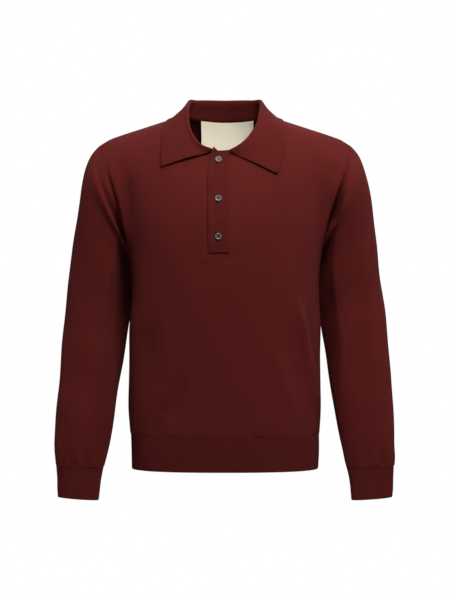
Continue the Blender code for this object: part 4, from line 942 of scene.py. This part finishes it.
n_front2 = panel_facing(front, n_front, 1, SEAM_FRONT)
n_back2 = panel_facing(back, n_back, -1, SEAM_BACK)
front_edge = front.copy()                                          # before the gap: the collar is set on this
back_edge = back.copy()
front = panel_gap(front, APART_FRONT)
back = panel_gap(back, APART_BACK)
arm_apart = on_turn(apart)
arm_dirs = unit(on_turn(seam_n))


def arm_parts(grid):
    n = normals(grid, True)
    n[0] = arm_dirs
    out = grid.copy()
    out[0] -= arm_apart * GAP / 2
    out[-1] += unit(grid[-2] - grid[-1]) * GAP / 2
    return out, n


arm_left, n_left = arm_parts(arm_left)
arm_right, n_right = arm_parts(arm_right)

# ---------------------------------------------------------------- ribs

RIB_PITCH, RIB_DEEP = 0.0025, 0.00055


def ribbing(run, total, count):
    """Rounded ribs across a row: height at the share of the row."""
    wave = np.abs(np.sin(math.pi * count * run / total))
    return RIB_DEEP * (wave ** 0.7 - 1)


def hem_rib(side, seed):
    count = 192
    s = np.linspace(-1, 1, count * 6 + 1)
    z = np.concatenate([[HEM, HEM + 0.0006], np.linspace(HEM + 0.0024, RIB_TOP, 20)])
    grid = half_ring(z, s, side)
    n = normals(grid) * (1 if side < 0 else -1)
    n[:, 0] = unit(n[:, 0] * [1, 0, 1])
    n[:, -1] = unit(n[:, -1] * [1, 0, 1])
    share = np.broadcast_to(np.linspace(0, 1, len(s))[None, :], grid.shape[:2])
    relief = ribbing(share, 1.0, count)
    up = (z - HEM)[:, None]
    relief = relief * (0.55 + 0.45 * ease(up, 0.0, 0.004)) - 0.0005 * (1 - ease(up, 0, 0.0026))
    wavy = 0.0010 * np.sin(9 * s + seed) + 0.0007 * np.sin(21 * s + 2 + seed) + 0.0005 * np.sin(37 * s + 1.3 * seed)
    wavy = wavy[None, :] * ease(1 - np.abs(s), 0, 0.05)[None, :] * np.sin(math.pi * np.clip(up / (RIB_TOP - HEM), 0, 1)) ** 0.7
    grid = grid + n * (relief + wavy)[..., None]
    grid[-1] += unit(grid[-2] - grid[-1]) * GAP / 2
    grid[:, 0] += unit(grid[:, 6] - grid[:, 0]) * GAP / 2
    grid[:, -1] += unit(grid[:, -7] - grid[:, -1]) * GAP / 2
    return grid, n, s, z


def cuff_rib(seed):
    count = 70
    turn = np.linspace(0, 1, count * 6 + 1)[:-1]
    t = np.concatenate([[0.0], np.linspace(0.1, 2.9, 19), [2.97, 3.0]])
    grid = cuff(t, turn)
    n = normals(grid, True)
    relief = ribbing(np.broadcast_to(turn[None, :], grid.shape[:2]), 1.0, count)
    down = run_of(grid, 0)
    to_edge = down[-1:] - down
    relief = relief * (0.55 + 0.45 * ease(to_edge, 0, 0.004)) - 0.0005 * (1 - ease(to_edge, 0, 0.0026))
    wavy = (0.0006 * np.sin(2 * math.pi * 3 * turn + seed) + 0.0004 * np.sin(2 * math.pi * 5 * turn + 2 * seed))[None, :] * np.sin(math.pi * np.clip(down / down[-1:], 0, 1)) ** 0.7
    grid = grid + n * (relief + wavy)[..., None]
    grid[0] += unit(grid[1] - grid[0]) * GAP / 2
    return grid, n


# ---------------------------------------------------------------- collar

T = np.linspace(-2, 2, 301)
Q = np.concatenate([np.linspace(0, 0.8, 23)[:-1], np.linspace(0.8, 1.2, 21)[:-1], np.linspace(1.2, 2, 49)])
fine_s, fine_w = np.linspace(-1, 1, 161), np.linspace(0, 1, 101)
whole_front = np.concatenate([half_ring(LOW[-20:], fine_s, -1), dome(-1, fine_s, fine_w)[1:]])
whole_back = np.concatenate([half_ring(LOW[-20:], fine_s, 1), dome(1, fine_s, fine_w)[1:]])
ground = [tree(whole_front, whole_back[:, ::-1]), tree(front_edge, back_edge[:, ::-1])]
inside_neck = np.abs(COLS) < NECK_SHARE + 1e-9
opening = [front_edge[-1, inside_neck], back_edge[-1, inside_neck]]
COLLAR_RIGHT = COLLAR_RIGHT[:-1] + ((2.00, 1.92, *COLLAR_RIGHT[-1][2:]),)
COLLAR_LEFT = COLLAR_LEFT[:-1] + ((2.00, 1.985, *COLLAR_LEFT[-1][2:]),)
raw = collar(T, Q, ground[0], opening)


def blur(field, passes, along_rows=True):
    out = field.copy()
    for k in range(passes):
        out[:, 1:-1] = (out[:, :-2] + 2 * out[:, 1:-1] + out[:, 2:]) / 4
        if along_rows:
            out[1:-1] = (out[:-2] + 2 * out[1:-1] + out[2:]) / 4
    return out


raw[1:-1] = blur(raw, 2, False)[1:-1]
# the stand's ends come down onto the neck edge beside the placket
raw[..., 2] -= 0.0017 * ease(np.abs(T), 1.5, 1.9)[None, :] * (1 - ease(Q, 0.0, 0.8))[:, None]
clear = WALL_COLLAR + 0.0007
move = np.zeros_like(raw)
for k in range(3):
    now = raw + move
    for i in np.nonzero(Q > 1.1)[0]:
        for j in range(now.shape[1]):
            p = now[i, j]
            for bvh in ground:
                place, n, index, far = bvh.find_nearest(tuple(p))
                if place is None or far > 0.02:
                    continue
                n = np.array(n)
                near = far if float(np.dot(p - np.array(place), n)) >= 0 else -far
                if (near >= 0 or bvh is ground[0] or far < 0.004) and clear - near > 0:
                    move[i, j] += n * (clear - near)
                    p = now[i, j] + n * (clear - near)
    if k < 2:
        move = blur(move, 4)
grid = raw + move

# the leaf falls smoothly from the roll
smooth = 0.5 * (ease(Q, 1.08, 1.25) * (1 - ease(Q, 1.55, 1.8)))[:, None] * ease(np.abs(T), 0.9, 1.2)[None, :]
for k in range(45):
    mid = grid.copy()
    mid[1:-1] = (grid[:-2] + grid[2:]) / 2
    grid = grid + (mid - grid) * smooth[..., None]

# a gentle unevenness of the leaf, and its rounded points
leaf = ease(Q, 1.25, 1.6)[:, None]
n = normals(grid)
ripple_out = 0.0006 * (1 + np.sin(3.1 * T[None, :] + 2.0 * Q[:, None])) + 0.0004 * (1 + np.sin(7.3 * T[None, :] - 3.0 * Q[:, None] + 1))
ripple_out *= 1 - 0.9 * np.exp(-((np.abs(T) - 1.02) / 0.22) ** 2)[None, :]
ripple_out += 0.0020 * ease(np.abs(T), 1.55, 1.95)[None, :] * ease(Q, 1.25, 1.9)[:, None]
grid = grid + n * (leaf * ripple_out)[..., None]
POINT_ROUND = 0.0050
for end in (0, -1):
    to_end = np.cumsum(np.concatenate([np.zeros((len(Q), 1)), np.linalg.norm(np.diff(grid if end == 0 else grid[:, ::-1], axis=1), axis=-1)], 1), 1)
    to_edge = np.cumsum(np.concatenate([np.zeros((1, len(T))), np.linalg.norm(np.diff(grid[::-1], axis=0), axis=-1)], 0), 0)[::-1]
    if end == -1:
        to_end = to_end[:, ::-1]
    near = (to_end < POINT_ROUND) & (to_edge < POINT_ROUND)
    p = np.clip(POINT_ROUND - to_end, 0, None) / POINT_ROUND
    q = np.clip(POINT_ROUND - to_edge, 0, None) / POINT_ROUND
    dp = p * (1 - np.sqrt(1 - q * q / 2)) * POINT_ROUND
    dq = q * (1 - np.sqrt(1 - p * p / 2)) * POINT_ROUND
    way_t = unit(grid[:, 4] - grid[:, 0]) if end == 0 else unit(grid[:, -5] - grid[:, -1])
    way_q = unit(grid[-5] - grid[-1])
    grid = grid + near[..., None] * (dp[..., None] * way_t[:, None, :] + dq[..., None] * way_q[None, :, :])
collar_grid = grid

# ---------------------------------------------------------------- plackets

over_front = tree(front_edge)


def on_front(x, z, out):
    high = -0.0765
    here = over_front.ray_cast((x, -1.0, min(z, high)), (0, 1, 0))
    at = np.array(here[0]) + np.array(here[1]) * out
    if z > high:
        low = over_front.ray_cast((x, -1.0, high - 0.012), (0, 1, 0))
        at = at + (at - np.array(low[0]) - np.array(low[1]) * out) * (z - high) / 0.012 * np.array([1, 0.45, 1])
    return at


shares = np.linspace(0, 1, 28)
zs = np.linspace(PLACKET_LOW, -0.0765, 118)
tops = np.interp(shares, (0, 1 / 3, 2 / 3, 1), PLACKET_TOPS)
upper = np.empty((124, 28, 3))
for i in range(124):
    for j, u in enumerate(shares):
        z = zs[i] if i < 118 else -0.0765 + (tops[j] + 0.0765) * (i - 117) / 6
        left = along(PLACKET_EDGE, [z])[0, 0]
        upper[i, j] = on_front(left + (PLACKET_RIGHT - left) * u, z, 0.0006 + WALL_PLACKET)
for k in range(4):
    inner_part = (upper[:-2, 1:-1] + upper[2:, 1:-1] + upper[1:-1, :-2] + upper[1:-1, 2:]) / 4
    upper[1:-1, 1:-1] = inner_part
n_upper = normals(upper)
# the free edge stands off a little, most between the buttons, and the sewn half stays on the front
run = (upper[..., 2] - PLACKET_LOW)
between = 0.5 - 0.5 * np.cos(2 * math.pi * (run - 0.0295) / 0.0712)
stand = (0.0011 + 0.0021 * between) * (1 - ease(shares, 0.0, 0.4))[None, :] * ease(run, 0.002, 0.02)
upper = upper + n_upper * stand[..., None]

ROW0, C0, C1 = 141, 108, 120
under = front_edge[ROW0:, C0:C1 + 1].copy()
inset = GAP + 0.0003
for c, step_in in ((0, 1), (-1, -1)):
    under[:, c] += unit(under[:, c + step_in] - under[:, c]) * inset
under[0] += unit(under[1] - under[0]) * inset
under[-1] += unit(under[-1] - under[-2]) * 0.0015
n_under = normals(under)
under = under - n_under * 0.0001

# ---------------------------------------------------------------- label

within_back = tree((back_edge - n_back2 * WALL)[:, ::-1])
label = np.empty((43, 61, 3))
for i, v in enumerate(np.linspace(0, 1, 43)):
    for j, u in enumerate(np.linspace(-1, 1, 61)):
        x = LABEL_X + u * LABEL_HALF
        z = LABEL_HIGH + 0.0022 * u * u - 0.0016 - LABEL_TALL * (1 - v)
        hit = within_back.ray_cast((x, -0.01, z), (0, 1, 0))
        label[i, j] = np.array(hit[0]) - np.array(unit(np.array(hit[1]))) * (0.0006 + WALL_LABEL) * np.sign(hit[1][1])
for k in range(6):
    label[1:-1, 1:-1] = (label[:-2, 1:-1] + label[2:, 1:-1] + label[1:-1, :-2] + label[1:-1, 2:]) / 4
# sewn along its top, it hangs away from the sloping back
label[..., 1] = label[-1:, :, 1] + (label[..., 1] - label[-1:, :, 1]) * 0.28
n_label = normals(label)
lu, lv = np.linspace(-1, 1, 61)[None, :], np.linspace(0, 1, 43)[:, None]
label = label + n_label * (0.0007 * ease(np.abs(lu), 0.55, 1.0) * np.sin(math.pi * lv) + 0.0003 * (1 + np.sin(5 * lu + 3 * lv)))[..., None]

# ---------------------------------------------------------------- cloth pieces


def map_of(grid, closed=False, across=None, skew=0.0):
    """Places on the cut cloth in metres: u across and v along."""
    g = np.concatenate([grid, grid[:, :1]], 1) if closed else grid
    rows, cols = g.shape[:2]
    mid_row = g[rows // 2]
    u = np.concatenate([[0], np.cumsum(np.linalg.norm(np.diff(mid_row, axis=0), axis=1))])
    wide = u[-1]
    if closed:
        wales = round(wide / 0.0018)
        u = u * (wales * 0.0018 / wide)
    v = np.mean(run_of(g, 0), axis=1)
    return np.stack([np.broadcast_to(u[None, :], (rows, cols)), np.broadcast_to(v[:, None], (rows, cols))], -1).copy()


keep = np.ones(((len(front) - 1) // 3, (len(COLS) - 1) // 3), bool)
keep[ROW0 // 3:, C0 // 3:C1 // 3] = False

made = {}
made["front"] = shell("front_knit", front, WALL, n_front2, map_of(front), keep=keep, soft_edge=0.0003)
made["back"] = shell("back_knit", back[:, ::-1], WALL, n_back2[:, ::-1], map_of(back[:, ::-1]), soft_edge=0.0003)
flip_cols = lambda g: (g * flip)[:, ::-1]
made["sleeve_left"] = shell("sleeve_left_knit", arm_left, WALL, n_left, map_of(arm_left, True), closed=True, soft_edge=0.0003)
g, gn = flip_cols(arm_right), flip_cols(n_right)
made["sleeve_right"] = shell("sleeve_right_knit", g, WALL, gn, map_of(g, True), closed=True, soft_edge=0.0003)
for side, name, seed in ((-1, "hem_rib_front", 0.4), (1, "hem_rib_back", 2.3)):
    g, gn, s_, z_ = hem_rib(side, seed)
    if side > 0:
        g, gn = g[:, ::-1], gn[:, ::-1]
    made[name] = shell(name + "_knit", g, WALL_RIB - 0.0002, gn, map_of(g), step=3)
g, gn = cuff_rib(0.7)
made["cuff_left"] = shell("cuff_left_knit", g, WALL_RIB - 0.0002, gn, map_of(g, True), closed=True)
g, gn = cuff_rib(2.9)
g, gn = flip_cols(g), flip_cols(gn)
made["cuff_right"] = shell("cuff_right_knit", g, WALL_RIB - 0.0002, gn, map_of(g, True), closed=True)
made["collar"] = shell("collar_knit", collar_grid, WALL_COLLAR, normals(collar_grid), map_of(collar_grid), soft_edge=0.0003)
made["placket_top"] = shell("placket_top_knit", upper, WALL_PLACKET, n_upper, map_of(upper), soft_edge=0.0003)
made["placket_under"] = shell("placket_under_knit", under, WALL_PLACKET, n_under, map_of(under), soft_edge=0.0002)
made["neck_label"] = shell("neck_label_woven", label, WALL_LABEL, n_label, map_of(label), soft_edge=0.0001)


def button(name, centre, normal, material, thread):
    around = 48
    profile = ((0.0001, 0.0), (0.0040, 0.0), (0.0050, 0.0002), (0.0056, 0.0009), (0.00575, 0.0014), (0.0056, 0.0020), (0.0053, 0.00235),
               (0.0049, 0.0024), (0.0045, 0.0023), (0.0040, 0.0019), (0.0034, 0.00165), (0.0024, 0.0016), (0.0001, 0.0016))
    pts = [(r * math.cos(2 * math.pi * k / around), r * math.sin(2 * math.pi * k / around), z) for r, z in profile[1:-1] for k in range(around)]
    rings = len(profile) - 2
    faces = [tuple(reversed(range(around)))]
    for i in range(rings - 1):
        for k in range(around):
            a, b = i * around + k, i * around + (k + 1) % around
            faces.append((a, b, b + around, a + around))
    faces.append(tuple((rings - 1) * around + k for k in range(around)))
    z = Vector(normal).normalized()
    y = (Vector((0, 0, 1)) - z * z.z).normalized()
    x = y.cross(z)
    place = Matrix((x, y, z)).transposed().to_4x4()
    place.translation = Vector(centre)
    ob = plain(name, pts, faces, smooth=False)
    cutters = []
    for sx in (-1, 1):
        for sy in (-1, 1):
            ring = [(sx * 0.00125 + 0.0006 * math.cos(2 * math.pi * k / 16), sy * 0.00125 + 0.0006 * math.sin(2 * math.pi * k / 16)) for k in range(16)]
            cpts = [(px, py, -0.001) for px, py in ring] + [(px, py, 0.004) for px, py in ring]
            cfaces = [tuple(reversed(range(16))), tuple(range(16, 32))] + [(k, (k + 1) % 16, 16 + (k + 1) % 16, 16 + k) for k in range(16)]
            cutters.append(plain(name + "_hole", cpts, cfaces, smooth=False))
    for cutter in cutters:
        cut = ob.modifiers.new("hole", "BOOLEAN")
        cut.operation, cut.solver, cut.object = "DIFFERENCE", "EXACT", cutter
    bpy.context.view_layer.update()
    done = bpy.data.meshes.new_from_object(ob.evaluated_get(bpy.context.evaluated_depsgraph_get()))
    ob.modifiers.clear()
    ob.data = done
    for cutter in cutters:
        bpy.data.objects.remove(cutter)
    done.polygons.foreach_set("use_smooth", np.ones(len(done.polygons), bool))
    done.set_sharp_from_angle(angle=math.radians(40))
    for face in done.polygons:
        c = face.center
        face.material_index = 1 if math.hypot(c.x, c.y) < 0.0038 and c.z > 0.0003 else 0
    done.transform(place)
    put(ob, material[0], "button", name.replace("_shell", ""))
    done.materials.append(material[1])
    # the thread: two strands between each pair of holes
    tpts, tfaces = [], []

    def tube(path, r):
        path = np.array(path, float)
        first = len(tpts)
        count = 8
        for k, p in enumerate(path):
            way = unit(path[min(k + 1, len(path) - 1)] - path[max(k - 1, 0)])
            a = unit(np.cross(way, [0.0, 1.0, 0.0] if abs(way[1]) < 0.9 else [1.0, 0, 0]))
            b = np.cross(way, a)
            for c in range(count):
                w = 2 * math.pi * c / count
                tpts.append(p + r * (math.cos(w) * a + math.sin(w) * b))
        for k in range(len(path) - 1):
            for c in range(count):
                p0, p1 = first + k * count + c, first + k * count + (c + 1) % count
                tfaces.append((p0, p1, p1 + count, p0 + count))
        tfaces.append(tuple(reversed(range(first, first + count))))
        tfaces.append(tuple(range(first + (len(path) - 1) * count, first + len(path) * count)))

    for sx in (-1, 1):
        for off in (-0.00022, 0.00022):
            y0 = 0.00125
            tube([(sx * 0.00125 + off, -y0, 0.0002), (sx * 0.00125 + off, -y0 + 0.0001, 0.0015), (sx * 0.00125 + off, -y0 + 0.0005, 0.0020),
                  (sx * 0.00125 + off, 0, 0.00215), (sx * 0.00125 + off, y0 - 0.0005, 0.0020), (sx * 0.00125 + off, y0 - 0.0001, 0.0015), (sx * 0.00125 + off, y0, 0.0002)], 0.00019)
    thr = plain(name.replace("_shell", "_thread"), tpts, tfaces)
    thr.data.transform(place)
    put(thr, thread, "button")


buttons = []
for k, z in enumerate(BUTTONS_Z):
    low_p, high_p = on_front(BUTTON_X, z - 0.005, 0.0022), on_front(BUTTON_X, z + 0.005, 0.0022)
    left_p, right_p = on_front(BUTTON_X - 0.005, z, 0.0022), on_front(BUTTON_X + 0.005, z, 0.0022)
    bn = unit(np.cross(right_p - left_p, high_p - low_p))
    mid = on_front(BUTTON_X, z, 0.0022)
    reach = max(float(np.dot(p - mid, bn)) for p in (low_p, high_p, left_p, right_p))
    buttons.append(("button_%d_shell" % (k + 1), mid + bn * (0.0004 + max(reach, 0)), bn))

# ---------------------------------------------------------------- materials


class Nodes:
    """Short hands for building a shader tree."""

    def __init__(self, name):
        self.mat = bpy.data.materials.new(name)
        self.mat.use_nodes = True
        self.tree = self.mat.node_tree
        self.shader = self.tree.nodes["Principled BSDF"]

    def new(self, kind, **sets):
        node = self.tree.nodes.new(kind)
        for key, value in sets.items():
            setattr(node, key, value)
        return node

    def put(self, socket, value):
        if hasattr(value, "is_output"):
            self.tree.links.new(value, socket)
        else:
            socket.default_value = value

    def math(self, op, *values, clamp=False):
        node = self.new("ShaderNodeMath", operation=op, use_clamp=clamp)
        for k, v in enumerate(values):
            self.put(node.inputs[k], v)
        return node.outputs[0]

    def mix(self, share, a, b, kind="MIX"):
        node = self.new("ShaderNodeMix", data_type="RGBA", blend_type=kind)
        self.put(node.inputs[0], share)
        self.put(node.inputs[6], a)
        self.put(node.inputs[7], b)
        return node.outputs[2]

    def noise(self, vector, scale, detail=2.0, rough=0.5, distortion=0.0):
        node = self.new("ShaderNodeTexNoise")
        self.put(node.inputs["Vector"], vector)
        node.inputs["Scale"].default_value = scale
        node.inputs["Detail"].default_value = detail
        node.inputs["Roughness"].default_value = rough
        node.inputs["Distortion"].default_value = distortion
        return node.outputs["Fac"]

    def remap(self, value, low, high, to_low, to_high):
        node = self.new("ShaderNodeMapRange")
        self.put(node.inputs[0], value)
        for k, v in zip((1, 2, 3, 4), (low, high, to_low, to_high)):
            node.inputs[k].default_value = v
        return node.outputs[0]

    def bump(self, height, distance, strength=1.0, below=None):
        node = self.new("ShaderNodeBump")
        node.inputs["Strength"].default_value = strength
        node.inputs["Distance"].default_value = distance
        self.put(node.inputs["Height"], height)
        if below is not None:
            self.put(node.inputs["Normal"], below)
        return node.outputs[0]


def knit(name, dark, mid, light, wale, course, rib=0.0, depth=0.00035, sheen=0.04):
    """Wool jersey: V-shaped loops in upright wales, slightly mixed yarn, soft loose fibres, and painted shade in the
    hollows between the loops.
    """
    m = Nodes(name)
    uv = m.new("ShaderNodeUVMap", uv_map="Knit").outputs[0]
    split = m.new("ShaderNodeSeparateXYZ")
    m.put(split.inputs[0], uv)
    u, v = split.outputs[0], split.outputs[1]
    drift = m.noise(uv, 60.0, 1.0)
    u_on = m.math("ADD", m.math("DIVIDE", u, wale), m.math("MULTIPLY", drift, 0.35))
    v_on = m.math("ADD", m.math("DIVIDE", v, course), m.math("MULTIPLY", drift, 0.6))
    across = m.math("MULTIPLY", m.math("ABSOLUTE", m.math("SUBTRACT", m.math("FRACT", u_on), 0.5)), 2.0)   # 0 mid wale, 1 between wales
    leg = m.math("ABSOLUTE", m.math("SUBTRACT", across, 0.5))
    round_leg = m.math("SUBTRACT", 1.0, m.math("POWER", m.math("MULTIPLY", leg, 1.9), 2.0))
    slant = m.math("ADD", v_on, m.math("MULTIPLY", across, -0.55))
    loop = m.math("ADD", 0.5, m.math("MULTIPLY", m.math("SINE", m.math("MULTIPLY", slant, 2 * math.pi)), 0.5))
    height = m.math("ADD", m.math("MULTIPLY", round_leg, 0.62), m.math("MULTIPLY", m.math("MULTIPLY", loop, round_leg), 0.38))
    fibre = m.noise(uv, 2600.0, 3.0, 0.6)
    fuzz = m.math("ADD", height, m.math("MULTIPLY", fibre, 0.45))
    mixed = m.noise(uv, 420.0, 3.0, 0.65, 0.4)
    patch = m.noise(uv, 16.0, 2.0, 0.5)
    tone = m.math("ADD", m.math("MULTIPLY", m.remap(mixed, 0.3, 0.7, 0.0, 1.0), 0.45), m.math("MULTIPLY", m.remap(fibre, 0.3, 0.7, 0.0, 1.0), 0.25))
    # painted shade: by loop height, the colour darkens in the hollows between the loops and wales and lightens on the
    # loop tops
    tone = m.math("ADD", tone, m.math("MULTIPLY", m.remap(height, 0.0, 1.0, 0.0, 1.0), 0.30), clamp=True)
    colour = m.mix(tone, (*dark, 1), (*light, 1))
    colour = m.mix(m.remap(patch, 0.3, 0.7, 0.0, 0.35), colour, (*mid, 1))
    m.put(m.shader.inputs["Base Color"], colour)
    m.put(m.shader.inputs["Roughness"], m.remap(fibre, 0.3, 0.7, 0.86, 0.98))
    m.put(m.shader.inputs["Normal"], m.bump(fuzz, depth, 0.8))
    m.shader.inputs["Specular IOR Level"].default_value = 0.03
    m.shader.inputs["Sheen Weight"].default_value = sheen
    m.shader.inputs["Sheen Roughness"].default_value = 0.45
    m.shader.inputs["Sheen Tint"].default_value = (0.90, 0.25, 0.26, 1)
    return m.mat


BODY = ((0.070, 0.0086, 0.0069), (0.094, 0.0124, 0.0100), (0.122, 0.0170, 0.0139))
# painted shade: the rib tones are the body's made about a sixth darker, standing in for the shade between the ribs
RIB_TONES_PAINTED_SHADE = ((0.058, 0.0074, 0.0062), (0.079, 0.0106, 0.0090), (0.103, 0.0148, 0.0125))
knit_body = knit("knit_body", *BODY, 0.0018, 0.0013)
# painted shade: the collar is the body's knit darkened to 0.88, standing in for the shade inside the neck
knit_collar_painted_shade = knit("knit_collar_painted_shade", *(tuple(0.88 * c for c in tone) for tone in BODY), 0.0018, 0.0013)
knit_rib = knit("knit_rib", *RIB_TONES_PAINTED_SHADE, 0.0025, 0.0014, depth=0.00022)
knit_band = knit("knit_band", (0.060, 0.0074, 0.0060), (0.081, 0.0106, 0.0088), (0.105, 0.0148, 0.0124), 0.0015, 0.0011, depth=0.00028)

m = Nodes("label")
uv = m.new("ShaderNodeUVMap", uv_map="Knit").outputs[0]
split = m.new("ShaderNodeSeparateXYZ")
m.put(split.inputs[0], uv)
warp = m.math("MULTIPLY", m.math("ADD", m.math("SINE", m.math("MULTIPLY", split.outputs[0], 2 * math.pi / 0.00045)), 1.0), 0.5)
weft = m.math("MULTIPLY", m.math("ADD", m.math("SINE", m.math("MULTIPLY", m.math("ADD", split.outputs[1], m.math("MULTIPLY", split.outputs[0], 0.35)), 2 * math.pi / 0.00060)), 1.0), 0.5)
weave = m.math("MULTIPLY", m.math("ADD", warp, weft), 0.5)
cloudy = m.noise(uv, 90.0, 3.0)
m.put(m.shader.inputs["Base Color"], m.mix(m.math("ADD", m.math("MULTIPLY", weave, 0.5), m.math("MULTIPLY", cloudy, 0.5)), (0.90, 0.80, 0.60, 1), (0.98, 0.90, 0.72, 1)))
m.put(m.shader.inputs["Roughness"], m.remap(weave, 0.0, 1.0, 0.62, 0.44))
m.put(m.shader.inputs["Normal"], m.bump(weave, 0.00010, 0.6))
m.shader.inputs["Sheen Weight"].default_value = 0.15
label_cloth = m.mat


def shell_button(name, dark, light):
    m = Nodes(name)
    place = m.new("ShaderNodeTexCoord").outputs["Object"]
    swirl = m.noise(place, 260.0, 4.0, 0.6, 1.6)
    fine = m.noise(place, 900.0, 3.0, 0.6, 0.8)
    m.put(m.shader.inputs["Base Color"], m.mix(m.remap(m.math("ADD", m.math("MULTIPLY", swirl, 0.75), m.math("MULTIPLY", fine, 0.25)), 0.36, 0.64, 0.0, 1.0), (*dark, 1), (*light, 1)))
    m.put(m.shader.inputs["Roughness"], m.remap(fine, 0.3, 0.7, 0.32, 0.50))
    m.shader.inputs["Specular IOR Level"].default_value = 0.4
    return m.mat


pearl = (shell_button("button", (0.075, 0.060, 0.063), (0.31, 0.28, 0.28)), shell_button("button_dish", (0.008, 0.006, 0.009), (0.038, 0.032, 0.038)))

m = Nodes("thread")
place = m.new("ShaderNodeTexCoord").outputs["Object"]
m.put(m.shader.inputs["Base Color"], m.mix(m.noise(place, 3000.0, 2.0), (0.050, 0.008, 0.008, 1), (0.12, 0.020, 0.018, 1)))
m.shader.inputs["Roughness"].default_value = 0.75
thread = m.mat

for key, ob in made.items():
    if key == "neck_label":
        put(ob, label_cloth, "label", key)
    elif "rib" in key or "cuff" in key:
        put(ob, knit_rib, "knit_rib", key)
    elif "placket" in key:
        put(ob, knit_band, "knit_body", key)
    elif key == "collar":
        put(ob, knit_collar_painted_shade, "knit_body", key)
    else:
        put(ob, knit_body, "knit_body", key)
for name, centre, normal in buttons:
    button(name, centre, normal, pearl, thread)

# ---------------------------------------------------------------- room, light and camera

def wall_paint(name, tone, glow):
    m = Nodes(name)
    m.shader.inputs["Base Color"].default_value = (tone, tone, tone, 1)
    m.shader.inputs["Roughness"].default_value = 0.9
    m.shader.inputs["Specular IOR Level"].default_value = 0.0
    m.shader.inputs["Emission Color"].default_value = (1, 1, 1, 1)
    m.shader.inputs["Emission Strength"].default_value = glow
    return m.mat


FLOOR, DISC, ROOM = -1.45, 1.8, 7.0
around = np.linspace(0, 2 * math.pi, 73)[:-1]


def turned(name, section, material):
    """A surface of revolution about the upright axis, from (radius, height) rows."""
    n = len(around)
    pts = [(r * math.cos(a), r * math.sin(a), z) for r, z in section for a in around]
    faces = [(i * n + k, i * n + (k + 1) % n, (i + 1) * n + (k + 1) % n, (i + 1) * n + k) for i in range(len(section) - 1) for k in range(n)]
    ob = plain(name, pts, faces)
    ob.data.materials.append(material)
    return ob


turned("floor", [(0.001, FLOOR), (0.9, FLOOR), (DISC, FLOOR)], wall_paint("floor", 0.80, 0.0))
m = Nodes("room")
m.shader.inputs["Base Color"].default_value = (0.0, 0.0, 0.0, 1)
m.shader.inputs["Roughness"].default_value = 1.0
m.shader.inputs["Specular IOR Level"].default_value = 0.0
m.shader.inputs["Emission Color"].default_value = (1, 1, 1, 1)
place = m.new("ShaderNodeTexCoord").outputs["Object"]
away = m.new("ShaderNodeVectorMath", operation="LENGTH")
m.put(away.inputs[0], place)
m.put(m.shader.inputs["Emission Strength"], m.remap(away.outputs["Value"], 2.3, 3.1, 0.72, 1.0))
rise = [(ROOM + 1.6 * math.sin(a), FLOOR + 1.6 - 1.6 * math.cos(a)) for a in np.linspace(0, math.pi / 2, 12)]
cover = [((ROOM + 1.6) * math.cos(a), 3.0 + 3.0 * math.sin(a)) for a in np.linspace(0, math.pi / 2 - 0.01, 12)]
room = turned("room", [(DISC, FLOOR), (2.4, FLOOR), (4.5, FLOOR)] + rise + cover, m.mat)
room.visible_diffuse = room.visible_glossy = room.visible_shadow = False


def area_light(name, at, look, size_x, size_y, watts, tint=(1, 1, 1)):
    data = bpy.data.lights.new(name, "AREA")
    data.shape = "RECTANGLE"
    data.size, data.size_y, data.energy, data.color = size_x, size_y, watts, tint
    ob = bpy.data.objects.new(name, data)
    bpy.context.scene.collection.objects.link(ob)
    ob.location = at
    ob.rotation_euler = (Vector(look) - Vector(at)).to_track_quat("-Z", "Y").to_euler()
    return ob


area_light("key", (0.42, -1.48, 1.50), (0, 0, 0.10), 0.8, 0.8, KEY)
area_light("top", (0.1, -0.2, 2.1), (0, 0, 0), 1.2, 0.9, TOP, (0.97, 1.0, 1.25))
area_light("fill", (0.2, -3.8, 0.3), (0, 0, -0.35), 2.4, 1.6, FILL)
area_light("back", (0.3, 2.0, 1.7), (0, 0, -0.2), 1.4, 1.0, BACK, (0.97, 1.0, 1.25))
area_light("rim_left", (-2.2, 0.45, 0.4), (0, 0, -0.3), 0.8, 1.8, RIM, (1.0, 0.96, 1.25))
area_light("rim_right", (2.2, 0.45, 0.4), (0, 0, -0.3), 0.8, 1.8, RIM, (1.0, 0.96, 1.25))

world = bpy.data.worlds.new("studio")
world.use_nodes = True
world.node_tree.nodes["Background"].inputs["Color"].default_value = (1, 1, 1, 1)
world.node_tree.nodes["Background"].inputs["Strength"].default_value = AMBIENT
bpy.context.scene.world = world
bpy.context.scene.view_settings.view_transform = "Standard"
bpy.context.scene.view_settings.look = "None"

data = bpy.data.cameras.new("camera")
data.lens, data.sensor_width = 101.05, 36.0
camera = bpy.data.objects.new("camera", data)
bpy.context.scene.collection.objects.link(camera)
camera.location = (0.0, -3.2, -0.340)
camera.rotation_euler = (math.pi / 2, 0, 0)
bpy.context.scene.camera = camera
